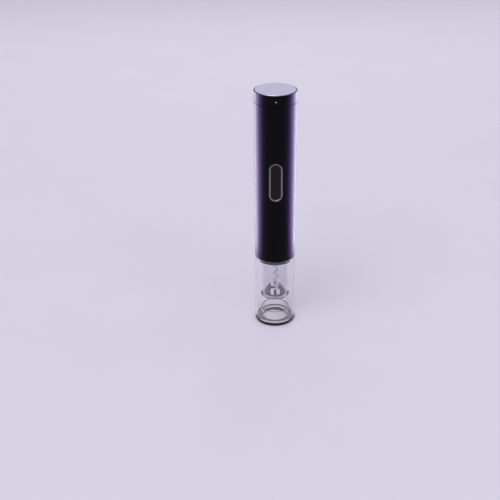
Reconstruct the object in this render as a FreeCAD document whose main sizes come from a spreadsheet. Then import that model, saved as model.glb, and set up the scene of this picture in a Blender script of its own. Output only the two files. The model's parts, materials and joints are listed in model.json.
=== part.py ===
import FreeCAD, Part
import math
import os
import re
import Sketcher

# An electric wine opener that stands on its clear lower sleeve.
# Z is up, the origin is the centre of the ring it stands on, the front (button side) faces -Y.
# The worm hangs from a carriage that a slotted tube turns inside a fixed threaded sleeve.

SIZES = (
    # outline
    ("body_radius", 24), ("body_foot_radius", 23.6), ("overall_height", 288),
    ("body_bottom", 86.6), ("body_top", 275), ("shell_bore_radius", 21.9),
    # clear sleeve and the ring it stands on
    ("sleeve_radius", 23.5), ("sleeve_bore_radius", 21.7), ("spigot_radius", 21.8),
    ("spigot_bore_radius", 20.2), ("spigot_top", 94.6), ("web_bottom", 4), ("web_top", 5.6),
    ("neck_radius", 15.25), ("neck_wall_radius", 16.8), ("neck_top", 16.2),
    ("base_round", 3), ("neck_round", 0.7), ("spigot_step", 1.6), ("spigot_slope", 2),
    ("shell_chamfer", 0.35),
    # cork chamber
    ("lip_bottom", 33.6), ("lip_top", 35.2), ("lip_radius", 17), ("lip_bore_radius", 12.4),
    ("guide_radius", 14.7), ("guide_bore_radius", 13.3), ("guide_top", 84.6),
    ("gripper_seat", 34.8), ("gripper_floor", 36.2), ("gripper_top", 44),
    ("gripper_radius", 13.2), ("prong_inner_radius", 9), ("prong_thickness", 1.1),
    ("prong_width", 3.4), ("prong_inset", 0.15), ("prong_root", 0.5), ("tooth_size", 1.4),
    ("tooth_reach", 0.6), ("tooth_width", 0.9), ("tooth_drop", 1),
    ("lip_round", 0.5), ("lip_slope", 2),
    # nose plate
    ("boss_bottom", 79.6), ("boss_radius", 16), ("plate_bottom", 87.5), ("plate_top", 91),
    ("plate_radius", 20.1), ("worm_hole_radius", 5.4), ("boss_round", 0.6),
    ("window_circle", 17.9), ("window_radius", 1.4),
    ("board_bottom", 92.2), ("board_thickness", 1), ("board_inner_radius", 15.6),
    ("board_outer_radius", 20), ("lamp_width", 2.8), ("lamp_height", 1.1),
    # screws
    ("screw_radius", 0.9), ("head_radius", 1.8), ("head_height", 1.2), ("screw_gap", 0.1),
    ("side_screw_height", 89.25), ("side_screw_length", 5), ("side_head_depth", 0.9),
    ("nose_screw_circle", 12.2), ("nose_screw_top", 94.2),
    # threaded sleeve
    ("thread_radius", 12), ("thread_bore_radius", 8.8), ("foot_flange_radius", 15),
    ("foot_flange_top", 94.5), ("collar_radius", 14), ("collar_low", 98), ("collar_mid", 99.9),
    ("collar_high", 102.1), ("collar_end", 104), ("head_flange_bottom", 147),
    ("head_flange_top", 150), ("gearbox_radius", 18),
    ("lead", 9), ("turns", 5), ("groove_width", 2.5), ("groove_radius", 10.4),
    # slotted tube, carriage and worm
    ("washer_thickness", 1), ("washer_bore_radius", 5.6), ("tube_radius", 8.5),
    ("tube_bore_radius", 6.6), ("tube_bottom", 92), ("tube_ceiling", 146.8),
    ("tube_top", 149.8), ("slot_width", 2.4), ("slot_bottom", 93.4), ("slot_top", 141.2),
    ("pin_height", 139.8), ("pin_radius", 1), ("pin_reach", 10.1),
    ("carriage_radius", 6.4), ("carriage_bottom", 138), ("carriage_top", 146.2),
    ("worm_coil_radius", 2.85), ("worm_wire_radius", 1.35), ("worm_tip_height", 39.5),
    ("worm_turns", 10), ("shank_radius", 3.2), ("shank_bottom", 128),
    ("shank_top", 138), ("tang_radius", 2.2), ("tang_top", 144.5), ("worm_point", 3.6),
    ("worm_tip_radius", 0.1),
    # gear train: two identical planetary stages
    ("gear_module", 0.6), ("sun_teeth", 12), ("planet_teeth", 18), ("ring_teeth", 48),
    ("pressure_angle", 20), ("tooth_height", 0.85), ("tooth_depth", 1.15), ("tooth_slack", 0.07),
    ("planet_circle", 9), ("ring_top", 166), ("carrier_radius", 12.6),
    ("planet_pin_radius", 1.2), ("planet_bore_radius", 1.28), ("hex_width", 7.6),
    ("hex_gap", 0.1), ("hex_bottom", 147),
    ("second_plate_bottom", 150.4), ("second_plate_top", 152.4), ("second_gear_bottom", 152.8),
    ("second_gear_top", 157.4), ("first_plate_bottom", 158), ("first_plate_top", 160),
    ("first_gear_bottom", 160.4), ("first_gear_top", 165), ("pinion_bottom", 160.6),
    # motor
    ("motor_plate_top", 169), ("gear_screw_circle", 16.5), ("shaft_radius", 1.15),
    ("shaft_gap", 0.25), ("motor_radius", 13.85), ("motor_bore_radius", 12.9),
    ("motor_nose_radius", 5), ("motor_floor", 170), ("can_top", 203.5), ("motor_top", 207),
    ("motor_cap_radius", 13.6), ("magnet_inner_radius", 10.2), ("magnet_bottom", 174),
    ("magnet_top", 200), ("magnet_slit", 5),
    ("core_radius", 9.7), ("core_bottom", 175), ("core_top", 197),
    ("core_slot", 1.6), ("core_hub_radius", 4.6), ("motor_screw_circle", 8),
    ("motor_screw_length", 3.4), ("commutator_radius", 2.6), ("commutator_bottom", 198.5),
    ("commutator_top", 202.5), ("shaft_top", 206.2), ("can_round", 0.8),
    ("terminal_thickness", 0.6), ("terminal_width", 2.4), ("terminal_rise", 1.5),
    # inner frame
    ("frame_radius", 21.7), ("frame_bore_radius", 20.2), ("frame_bottom", 94.8),
    ("frame_top", 208), ("rib_thickness", 2), ("rib_gap", 0.1), ("low_rib", 100),
    ("motor_rib", 192), ("frame_boss_radius", 2.5), ("frame_boss_x", 17.5),
    ("frame_boss_depth", 8), ("frame_screw_seat", 4), ("frame_screw_length", 9),
    ("low_boss_height", 118), ("high_boss_height", 180), ("frame_window_width", 19),
    ("frame_window_bottom", 161), ("frame_window_top", 210),
    ("post_radius", 2.2), ("post_x", 16.3), ("post_y", 3.2), ("post_bottom", 196),
    ("shelf_inner_radius", 19.6), ("shelf_bottom", 208.1), ("shelf_top", 210),
    # button
    ("button_centre", 187.25), ("bezel_width", 15.2), ("bezel_height", 45.7),
    ("bezel_opening_width", 11.4), ("bezel_opening_height", 41.9), ("flange_extra", 2.6),
    ("flange_thickness", 1), ("rocker_gap", 0.25), ("rocker_radius", 23.85),
    ("rocker_back", 20.9), ("pivot_depth", 21.7), ("pivot_radius", 0.9), ("pivot_reach", 6.8),
    ("pivot_gap", 0.1), ("press_offset", 10), ("nub_radius", 1.2), ("nub_depth", 20.2),
    ("dish_depth", 0.5), ("dish_radius", 60),
    ("switch_board_front", 17), ("switch_board_thickness", 1.4), ("switch_board_width", 16),
    ("switch_board_bottom", 170), ("switch_board_top", 206), ("rail_width", 2.2),
    ("rail_depth", 3.8), ("rail_length", 26), ("rail_lift", 2), ("rail_gap", 0.05),
    ("rail_front", 1.6),
    ("tab_width", 1.5), ("tab_thickness", 0.7), ("tab_overlap", 0.5), ("switch_width", 6),
    ("switch_depth", 2), ("plunger_radius", 1.7), ("plunger_back", 18.2),
    ("plunger_front", 20.1), ("plunger_gap", 0.1), ("switch_floor", 0.4),
    ("chip_width", 5), ("chip_length", 6), ("chip_height", 1.5),
    # wires
    ("thick_wire_radius", 0.5), ("thin_wire_radius", 0.4), ("wire_bend", 1),
    ("wire_drop", 14.3), ("terminal_x", 7), ("lamp_wire_x", 1.2), ("lamp_wire_depth", 18.9),
    ("front_feed_x", 3.8), ("rear_feed_x", 5.6), ("front_feed_y", 11), ("rear_feed_y", 4.2),
    # battery bay
    ("holder_radius", 21.6), ("holder_floor", 212), ("holder_top", 266),
    ("flute_radius", 3.4), ("flute_circle", 22.4), ("flute_lift", 4),
    ("cell_offset", 7.7), ("cell_bore_radius", 7.3), ("cell_radius", 7.1),
    ("cell_bottom", 217.5), ("cell_length", 49.2), ("nub_height", 1.3), ("cell_nub_radius", 2.7),
    ("contact_thickness", 0.4), ("contact_width", 9), ("spring_radius", 2.6),
    ("spring_wire", 0.35), ("spring_turns", 4), ("spring_gap", 0.05), ("holder_screw_bottom", 200),
    # cap
    ("cap_bottom", 275.3), ("cap_wall", 2.1), ("cap_ceiling", 284.6), ("disc_seat", 286.2),
    ("cap_rim_top", 287.5), ("cap_rim_radius", 23.45), ("disc_radius", 23.1),
    ("disc_chamfer", 0.5), ("rim_chamfer", 0.45), ("plug_radius", 21.75), ("plug_wall", 1.6),
    ("plug_bottom", 268.4), ("plug_floor", 272.6), ("plug_floor_top", 274.4),
    ("key_width", 3), ("key_radius", 22.6), ("key_gap", 0.15),
    ("cap_foot_chamfer", 0.3), ("dot_radius", 0.85), ("dot_depth", 0.6), ("dot_height", 280.5),
)

UP = FreeCAD.Vector(0, 0, 1)
FUNCTIONS = {"cos", "sin", "sqrt", "deg"}
THIRDS = (0, 120, 240)
SUPPLY_HOLES = (("-front_feed_x", "-front_feed_y"), ("-rear_feed_x", "rear_feed_y"))

doc = FreeCAD.newDocument("wine_opener")
sheet = doc.addObject("Spreadsheet::Sheet", "Sizes")
for row, (alias, size) in enumerate(SIZES, start=1):
    sheet.set("A%d" % row, alias)
    sheet.set("B%d" % row, str(size))
    sheet.setAlias("B%d" % row, alias)
doc.recompute()

finished = []


# ---------------------------------------------------------------- helpers

def bound(text):
    """Expression text with every size name pointed at the sheet."""
    def point(match):
        word = match.group(0)
        return word if word in FUNCTIONS else "Sizes." + word
    return re.sub(r"[a-z][a-z_]*", point, str(text))


def amount(text):
    """Present value of an expression over the sheet."""
    return float(sheet.evalExpression(bound(text)))


def bind(item, name, text):
    item.setExpression(name, bound(text))


def place(item, at, turn=0, lay=None):
    """Put an item at a bound point, swung about Z by turn degrees after laying it down."""
    x, y, z = at
    swing = FreeCAD.Rotation(UP, turn)
    item.Placement = FreeCAD.Placement(FreeCAD.Vector(), swing * lay if lay else swing)
    bind(item, "Placement.Base.x", "(%s) * cos(%s deg) - (%s) * sin(%s deg)" % (x, turn, y, turn))
    bind(item, "Placement.Base.y", "(%s) * sin(%s deg) + (%s) * cos(%s deg)" % (x, turn, y, turn))
    bind(item, "Placement.Base.z", z)
    return item


def rod(radius, length, at, axis="z", turn=0):
    """Cylinder from a point along +X, +Y or +Z, then swung about the object's axis."""
    item = doc.addObject("Part::Cylinder", "rod")
    bind(item, "Radius", radius)
    bind(item, "Height", length)
    lay = {
        "x": FreeCAD.Rotation(FreeCAD.Vector(0, 1, 0), 90),
        "y": FreeCAD.Rotation(FreeCAD.Vector(1, 0, 0), -90),
        "z": None,
    }[axis]
    return place(item, at, turn, lay)


def block(size, at, turn=0):
    """Box with its low corner at a point, then swung about the object's axis."""
    item = doc.addObject("Part::Box", "block")
    for name, text in zip(("Length", "Width", "Height"), size):
        bind(item, name, text)
    return place(item, at, turn)


def join(items):
    item = doc.addObject("Part::MultiFuse", "join")
    item.Shapes = list(items)
    return item


def cut(base, tools):
    tools = list(tools)
    item = doc.addObject("Part::Cut", "cut")
    item.Base = base
    item.Tool = tools[0] if len(tools) == 1 else join(tools)
    return item


def overlap(first, second):
    item = doc.addObject("Part::Common", "overlap")
    item.Base = first
    item.Tool = second
    return item


def group(items):
    """Several separate solids kept as one piece set."""
    item = doc.addObject("Part::Compound", "group")
    item.Links = list(items)
    return item


def finish(label, item):
    """Name a finished sub-part; it is written to its own file under this name."""
    item.Label = label
    finished.append(item)
    return item


def plane(body, role):
    return [item for item in body.Origin.OriginFeatures if item.Role == role][0]


def outline(body, role, points):
    """Closed straight-sided sketch with every corner bound to the sheet."""
    sketch = body.newObject("Sketcher::SketchObject", "outline")
    sketch.AttachmentSupport = [(plane(body, role), "")]
    sketch.MapMode = "FlatFace"
    corners = [FreeCAD.Vector(amount(x), amount(y), 0) for x, y in points]
    count = len(corners)
    for index in range(count):
        sketch.addGeometry(Part.LineSegment(corners[index], corners[(index + 1) % count]))
    for index in range(count):
        sketch.addConstraint(Sketcher.Constraint("Coincident", index, 2, (index + 1) % count, 1))
    for index, (x, y) in enumerate(points):
        for kind, text, axis in (("DistanceX", x, -2), ("DistanceY", y, -1)):
            if amount(text) == 0:
                sketch.addConstraint(Sketcher.Constraint("PointOnObject", index, 1, axis))
                continue
            number = sketch.addConstraint(Sketcher.Constraint(kind, index, 1, amount(text)))
            sketch.setExpression("Constraints[%d]" % number, bound(text))
    return sketch


def lathe(points):
    """Body turned about Z from (radius, height) corners."""
    body = doc.addObject("PartDesign::Body", "turned")
    sketch = outline(body, "XZ_Plane", points)
    turn = body.newObject("PartDesign::Revolution", "turn")
    turn.Profile = sketch
    turn.ReferenceAxis = (sketch, ["V_Axis"])
    turn.Angle = 360
    body.Tip = turn
    doc.recompute()
    return body


def ease(body, size, circles, kind="Fillet"):
    """Fillet or chamfer the circular edges found at the given (radius, height) pairs."""
    tip = body.Tip
    wanted = [(amount(radius), amount(height)) for radius, height in circles]
    names = []
    for number, edge in enumerate(tip.Shape.Edges, start=1):
        box = edge.BoundBox
        for radius, height in wanted:
            level = abs(box.ZMin - height) < 0.01 and abs(box.ZMax - height) < 0.01
            if level and abs(box.XMax - radius) < 0.01:
                names.append("Edge%d" % number)
    feature = body.newObject("PartDesign::" + kind, "eased")
    feature.Base = (tip, names)
    bind(feature, "Radius" if kind == "Fillet" else "Size", size)
    body.Tip = feature
    doc.recompute()
    return body


def ring(inner, outer, bottom, top):
    return lathe(((inner, bottom), (outer, bottom), (outer, top), (inner, top)))


def racetrack(width, height, depth):
    """Upright slot-shaped prism running from the axis out to the front."""
    half = "(%s) / 2" % width
    drop = "((%s) - (%s)) / 2" % (height, width)
    middle = block((width, depth, "(%s) - (%s)" % (height, width)),
                   ("-" + half, "-(%s)" % depth, "button_centre - " + drop))
    ends = [rod(half, depth, ("0", "-(%s)" % depth, "button_centre %s %s" % (sign, drop)), "y")
            for sign in ("+", "-")]
    return join([middle] + ends)


def screw(at, length, direction="z", turn=0, down=False):
    """Pan-head screw: the head starts at the point and the shank leads on from it."""
    x, y, z = at
    if direction == "z":
        head_at = (x, y, "%s - head_height" % z) if down else (x, y, z)
        shank_at = (x, y, "%s - head_height - (%s)" % (z, length)) if down else (
            x, y, "%s + head_height" % z)
        return join([rod("head_radius", "head_height", head_at, "z", turn),
                     rod("screw_radius", length, shank_at, "z", turn)])
    head_at = (x, "%s - head_height" % y, z)
    shank_at = (x, "%s - head_height - (%s)" % (y, length), z)
    return join([rod("head_radius", "head_height", head_at, "y", turn),
                 rod("screw_radius", length, shank_at, "y", turn)])


def solid(label, shape):
    item = doc.addObject("Part::Feature", "solid")
    item.Shape = shape
    return finish(label, item) if label else item


def wound_wire(reach, wire, lead, turns):
    """Round wire wound about Z, starting on +X at height 0, one spine edge to each turn."""
    slope = math.atan2(lead, 2 * math.pi * reach)
    along = FreeCAD.Vector(0, math.cos(slope), math.sin(slope))
    section = Part.Wire(Part.makeCircle(wire, FreeCAD.Vector(reach, 0, 0), along))
    edge = Part.makeHelix(lead, lead, reach).Edges[0]
    spine = Part.Wire([edge.translated(UP * lead * turn) for turn in range(turns)])
    return spine.makePipeShell([section], True, True)


# ---------------------------------------------------------------- gears

def flank(base, pitch, half_pitch_angle, low, high):
    """Points of an involute tooth side as (radius, half angle) from low to high."""
    pressure = math.radians(amount("pressure_angle"))
    start = max(base, low)
    points = []
    for step in range(4):
        radius = start + (high - start) * step / 3
        roll = math.acos(min(1.0, base / radius))
        spread = math.tan(pressure) - pressure - (math.tan(roll) - roll)
        points.append((radius, half_pitch_angle + spread))
    return points


def toothed_face(teeth, low, high, slack, phase):
    """Flat face bounded by a toothed outline; slack thins (or, if negative, widens) each tooth."""
    module = amount("gear_module")
    pitch = module * teeth / 2
    base = pitch * math.cos(math.radians(amount("pressure_angle")))
    half = math.pi / (2 * teeth) - slack / (2 * pitch)
    side = flank(base, pitch, half, low, high)
    edges = []
    corners = []
    for tooth in range(teeth):
        centre = math.radians(phase) + 2 * math.pi * tooth / teeth

        def spot(radius, angle):
            return FreeCAD.Vector(radius * math.cos(angle), radius * math.sin(angle), 0)

        rise = [spot(radius, centre - angle) for radius, angle in side]
        fall = [spot(radius, centre + angle) for radius, angle in reversed(side)]
        foot_in = spot(low, centre - side[0][1])
        foot_out = spot(low, centre + side[0][1])
        corners.append((foot_in, foot_out))
        if side[0][0] > low + 0.001:
            edges.append(Part.makeLine(foot_in, rise[0]))
        for points in (rise, fall):
            curve = Part.BSplineCurve()
            curve.interpolate(points)
            edges.append(curve.toShape())
            if points is rise:
                edges.append(Part.makeLine(rise[-1], fall[0]))
        if side[0][0] > low + 0.001:
            edges.append(Part.makeLine(fall[-1], foot_out))
    for tooth in range(teeth):
        edges.append(Part.makeLine(corners[tooth][1], corners[(tooth + 1) % teeth][0]))
    return Part.Face(Part.Wire(Part.__sortEdges__(edges)))


def wheel(teeth_name, bore, bottom, top, phase=0):
    """Outside-toothed gear about Z with a round bore (bore of 0 leaves it solid)."""
    teeth = int(amount(teeth_name))
    pitch = amount("gear_module") * teeth / 2
    high = pitch + amount("gear_module * tooth_height")
    low = pitch - amount("gear_module * tooth_depth")
    face = toothed_face(teeth, low, high, amount("tooth_slack"), phase)
    face.translate(FreeCAD.Vector(0, 0, amount(bottom)))
    height = amount(top) - amount(bottom)
    shape = face.extrude(FreeCAD.Vector(0, 0, height))
    if bore:
        shape = shape.cut(Part.makeCylinder(
            amount(bore), height, FreeCAD.Vector(0, 0, amount(bottom))))
    return shape


def planet(label, bottom, top, angle):
    """Planet gear out on its pin; a tooth gap faces the sun."""
    half_step = 180 / amount("planet_teeth")
    shape = wheel("planet_teeth", "planet_bore_radius", bottom, top, half_step)
    item = solid(label, shape)
    reach = amount("planet_circle")
    swing = FreeCAD.Rotation(UP, angle)
    item.Placement = FreeCAD.Placement(swing.multVec(FreeCAD.Vector(reach, 0, 0)), swing)
    return item


# ---------------------------------------------------------------- stand ring, sleeve, chamber

base_ring = lathe((
    ("neck_wall_radius", "0"), ("sleeve_radius", "0"),
    ("sleeve_radius", "web_bottom"), ("neck_wall_radius", "web_bottom")))
finish("base_ring", ease(base_ring, "base_round", (("sleeve_radius", "0"),)))

sleeve = lathe((
    ("neck_radius", "0"), ("neck_wall_radius", "0"), ("neck_wall_radius", "web_bottom"),
    ("sleeve_radius", "web_bottom"), ("sleeve_radius", "body_bottom"),
    ("spigot_radius", "body_bottom"), ("spigot_radius", "spigot_top"),
    ("spigot_bore_radius", "spigot_top"), ("spigot_bore_radius", "body_bottom - spigot_step"),
    ("sleeve_bore_radius", "body_bottom - spigot_step - spigot_slope"),
    ("sleeve_bore_radius", "web_top"),
    ("neck_wall_radius", "web_top"), ("neck_wall_radius", "neck_top"),
    ("neck_radius", "neck_top")))
sleeve = ease(sleeve, "neck_round", (
    ("neck_radius", "neck_top"), ("neck_wall_radius", "neck_top")))
side_screw_angles = (30, 150, 270)
sleeve_holes = []
for angle in side_screw_angles:
    sleeve_holes.append(rod("screw_radius + screw_gap", "4", (
        "spigot_bore_radius - 1", "0", "side_screw_height"), "x", angle))
    sleeve_holes.append(rod("head_radius + screw_gap", "2", (
        "spigot_radius - side_head_depth", "0", "side_screw_height"), "x", angle))
finish("clear_sleeve", cut(sleeve, sleeve_holes))

guide = lathe((
    ("lip_bore_radius", "lip_bottom"), ("lip_radius", "lip_bottom"), ("lip_radius", "lip_top"),
    ("guide_radius", "lip_top + lip_slope"), ("guide_radius", "guide_top"),
    ("guide_bore_radius", "guide_top"), ("guide_bore_radius", "gripper_seat"),
    ("lip_bore_radius", "gripper_seat")))
finish("guide_tube", ease(guide, "lip_round", (("lip_radius", "lip_bottom"),)))

gripper_ring = ring("prong_inner_radius", "gripper_radius", "gripper_seat", "gripper_floor")
prongs = []
for angle in range(0, 360, 45):
    prongs.append(block((
        "prong_thickness", "prong_width", "gripper_top - gripper_floor + prong_root"), (
        "prong_inner_radius + prong_inset", "-prong_width / 2", "gripper_floor - prong_root"),
        angle))
    prongs.append(block(("tooth_size", "tooth_width", "tooth_size"), (
        "prong_inner_radius - tooth_reach", "-tooth_width / 2",
        "gripper_top - tooth_size - tooth_drop"), angle))
finish("cork_gripper", join([gripper_ring] + prongs))

nose = lathe((
    ("worm_hole_radius", "guide_top"), ("guide_radius", "guide_top"),
    ("guide_radius", "boss_bottom"), ("boss_radius", "boss_bottom"),
    ("boss_radius", "plate_bottom"), ("plate_radius", "plate_bottom"),
    ("plate_radius", "plate_top"), ("worm_hole_radius", "plate_top")))
nose = ease(nose, "boss_round", (("boss_radius", "boss_bottom"),))
lamp_angles = (90, 210, 330)
nose_holes = []
for angle in lamp_angles:
    nose_holes.append(rod("window_radius", "6", ("window_circle", "0", "plate_bottom - 1"),
                          "z", angle))
for angle in side_screw_angles:
    nose_holes.append(rod("screw_radius", "9", (
        "spigot_radius - side_head_depth - side_screw_length", "0", "side_screw_height"),
        "x", angle))
    nose_holes.append(rod("screw_radius", "9", ("nose_screw_circle", "0", "guide_top - 1"),
                          "z", angle))
    nose_holes.append(rod("head_radius + screw_gap", "head_height + 1", (
        "nose_screw_circle", "0", "guide_top - 1"), "z", angle))
finish("nose_plate", cut(nose, nose_holes))

finish("light_windows", group([
    rod("window_radius", "plate_top - plate_bottom", ("window_circle", "0", "plate_bottom"),
        "z", angle) for angle in lamp_angles]))
finish("lamp_board", ring("board_inner_radius", "board_outer_radius", "board_bottom",
                          "board_bottom + board_thickness"))
finish("lamps", group([
    block(("lamp_width", "lamp_width", "lamp_height"), (
        "window_circle - lamp_width / 2", "-lamp_width / 2", "board_bottom - lamp_height"), angle)
    for angle in lamp_angles]))

side_screws = []
for angle in side_screw_angles:
    head = rod("head_radius", "side_head_depth", (
        "spigot_radius - side_head_depth", "0", "side_screw_height"), "x", angle)
    shank = rod("screw_radius", "side_screw_length", (
        "spigot_radius - side_head_depth - side_screw_length", "0", "side_screw_height"),
        "x", angle)
    side_screws.append(join([head, shank]))
finish("sleeve_screws", group(side_screws))
finish("nose_screws", group([
    screw(("nose_screw_circle", "0", "guide_top"), "nose_screw_top - guide_top - head_height",
          "z", angle) for angle in side_screw_angles]))

# ---------------------------------------------------------------- outer shell and button

shell = lathe((
    ("shell_bore_radius", "body_bottom"), ("body_foot_radius", "body_bottom"),
    ("body_radius", "body_top"), ("shell_bore_radius", "body_top"),
    ("shell_bore_radius", "shelf_top"), ("shelf_inner_radius", "shelf_top"),
    ("shelf_inner_radius", "shelf_bottom"), ("shell_bore_radius", "shelf_bottom")))
shell = ease(shell, "shell_chamfer", (("body_foot_radius", "body_bottom"), ("body_radius", "body_top")),
             "Chamfer")
window = racetrack("bezel_width", "bezel_height", "body_radius + 2")
flange_room = overlap(
    ring("shell_bore_radius - flange_thickness - 0.2", "shell_bore_radius",
         "button_centre - bezel_height", "button_centre + bezel_height"),
    racetrack("bezel_width + flange_extra + 0.6", "bezel_height + flange_extra + 0.6",
              "body_radius + 2"))
keyway = block(("key_width + 2 * key_gap", "4", "20"), (
    "-key_width / 2 - key_gap", "-key_radius - key_gap", "plug_bottom - 1"))
post_holes = [rod("screw_radius + screw_gap", "4", (
    "%spost_x" % side, "post_y", "shelf_bottom - 1")) for side in ("", "-")]
finish("body_shell", cut(shell, [window, flange_room, keyway] + post_holes))

bezel_face = overlap(
    ring("shell_bore_radius", "body_radius", "button_centre - bezel_height",
         "button_centre + bezel_height"),
    racetrack("bezel_width", "bezel_height", "body_radius + 2"))
bezel_flange = overlap(
    ring("shell_bore_radius - flange_thickness", "shell_bore_radius",
         "button_centre - bezel_height", "button_centre + bezel_height"),
    racetrack("bezel_width + flange_extra", "bezel_height + flange_extra", "body_radius + 2"))
pivot_hole = rod("pivot_radius + pivot_gap", "2 * pivot_reach + 0.4", (
    "-pivot_reach - 0.2", "-pivot_depth", "button_centre"), "x")
finish("button_bezel", cut(join([bezel_face, bezel_flange]), [
    racetrack("bezel_opening_width", "bezel_opening_height", "body_radius + 3"), pivot_hole]))

rocker_face = overlap(
    rod("rocker_radius", "bezel_height", ("0", "0", "button_centre - bezel_height / 2")),
    racetrack("bezel_opening_width - 2 * rocker_gap", "bezel_opening_height - 2 * rocker_gap",
              "body_radius + 2"))
rocker_cutters = [
    block(("2 * body_radius", "body_radius + rocker_back", "2 * bezel_height"), (
        "-body_radius", "-rocker_back", "button_centre - bezel_height")),
    rod("dish_radius", "2 * body_radius", (
        "-body_radius", "-rocker_radius - dish_radius + dish_depth", "button_centre"), "x")]
pivots = rod("pivot_radius", "2 * pivot_reach", ("-pivot_reach", "-pivot_depth",
                                                 "button_centre"), "x")
nubs = [rod("nub_radius", "rocker_back - nub_depth + 0.5", (
    "0", "-rocker_back - 0.5", "button_centre %s press_offset" % sign), "y")
    for sign in ("+", "-")]
finish("rocker_button", join([cut(rocker_face, rocker_cutters), pivots] + nubs))

finish("switch_board", block((
    "switch_board_width", "switch_board_thickness", "switch_board_top - switch_board_bottom"), (
    "-switch_board_width / 2", "-switch_board_front", "switch_board_bottom")))
for name, sign in (("upper", "+"), ("lower", "-")):
    level = "button_centre %s press_offset" % sign
    housing = block(("switch_width", "switch_depth", "switch_width"), (
        "-switch_width / 2", "-switch_board_front - switch_depth",
        "%s - switch_width / 2" % level))
    well = rod("plunger_radius + plunger_gap", "switch_depth", (
        "0", "-switch_board_front - switch_depth - switch_floor", level), "y")
    finish(name + "_switch", cut(housing, [well]))
    finish(name + "_plunger", rod("plunger_radius", "plunger_front - plunger_back", (
        "0", "-plunger_front", level), "y"))
finish("driver_chip", block(("chip_width", "chip_height", "chip_length"), (
    "-chip_width / 2", "-switch_board_front - chip_height", "button_centre - chip_length / 2")))

# ---------------------------------------------------------------- worm drive

thread = lathe((
    ("thread_bore_radius", "plate_top"), ("foot_flange_radius", "plate_top"),
    ("foot_flange_radius", "foot_flange_top"), ("thread_radius", "foot_flange_top"),
    ("thread_radius", "collar_low"), ("collar_radius", "collar_low"),
    ("collar_radius", "collar_mid"), ("thread_radius", "collar_mid"),
    ("thread_radius", "collar_high"), ("collar_radius", "collar_high"),
    ("collar_radius", "collar_end"), ("thread_radius", "collar_end"),
    ("thread_radius", "head_flange_bottom"), ("gearbox_radius", "head_flange_bottom"),
    ("gearbox_radius", "head_flange_top"), ("thread_bore_radius", "head_flange_top")))


def groove(start):
    """Cutter for one start of the inner thread, long enough for the pin at both ends."""
    lead = amount("lead")
    run_out = lead / 8
    bottom = amount("pin_height - lead * turns") - run_out
    height = amount("lead * turns") + 2 * run_out
    inner = amount("thread_bore_radius") - 1
    outer = amount("groove_radius")
    half = amount("groove_width") / 2
    helix = Part.makeHelix(lead, height, outer)
    corners = [(inner, -half), (outer, -half), (outer, half), (inner, half), (inner, -half)]
    section = Part.makePolygon([FreeCAD.Vector(x, 0, z) for x, z in corners])
    shape = Part.Wire(helix.Edges).makePipeShell([section], True, True)
    shape.rotate(FreeCAD.Vector(), UP, start - 45)
    shape.translate(FreeCAD.Vector(0, 0, bottom))
    return solid(None, shape)


thread_cutters = [groove(0), groove(180)]
thread_cutters += [rod("screw_radius", "6", ("nose_screw_circle", "0", "plate_top - 1"),
                       "z", angle) for angle in side_screw_angles]
thread_cutters += [rod("screw_radius", "6", ("gear_screw_circle", "0", "head_flange_bottom - 1"),
                       "z", angle) for angle in lamp_angles]
finish("thread_sleeve", cut(thread, thread_cutters))

finish("thrust_washer", ring("washer_bore_radius", "tube_radius", "plate_top",
                             "plate_top + washer_thickness"))


def hex_prism(width, bottom, top):
    """Six-sided prism about Z with the given width across flats."""
    body = doc.addObject("PartDesign::Body", "hexagon")
    reach = "(%s) / sqrt(3)" % width
    points = []
    for index in range(6):
        angle = 60 * index + 30
        points.append(("%s * cos(%d deg)" % (reach, angle), "%s * sin(%d deg)" % (reach, angle)))
    points = [(x if abs(amount(x)) > 0.001 else "0", y) for x, y in points]
    sketch = outline(body, "XY_Plane", points)
    pad = body.newObject("PartDesign::Pad", "pad")
    pad.Profile = sketch
    bind(pad, "Length", "(%s) - (%s)" % (top, bottom))
    body.Tip = pad
    doc.recompute()
    bind(body, "Placement.Base.z", bottom)
    return body


tube = lathe((
    ("tube_bore_radius", "tube_bottom"), ("tube_radius", "tube_bottom"),
    ("tube_radius", "tube_top"), ("0", "tube_top"), ("0", "tube_ceiling"),
    ("tube_bore_radius", "tube_ceiling")))
slot = block(("4 * tube_radius", "slot_width", "slot_top - slot_bottom"), (
    "-2 * tube_radius", "-slot_width / 2", "slot_bottom"))
socket = hex_prism("hex_width + 2 * hex_gap", "tube_ceiling - 1", "tube_top + 1")
finish("drive_tube", cut(tube, [slot, socket]))

carriage = rod("carriage_radius", "carriage_top - carriage_bottom", (
    "0", "0", "carriage_bottom"))
carriage_pin_hole = rod("pin_radius", "4 * carriage_radius", (
    "-2 * carriage_radius", "0", "pin_height"), "x")
tang_hole = rod("tang_radius", "tang_top - carriage_bottom + 1", (
    "0", "0", "carriage_bottom - 1"))
finish("carriage", cut(carriage, [carriage_pin_hole, tang_hole]))
finish("carriage_pin", rod("pin_radius", "2 * pin_reach", ("-pin_reach", "0", "pin_height"),
                           "x"))


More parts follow.
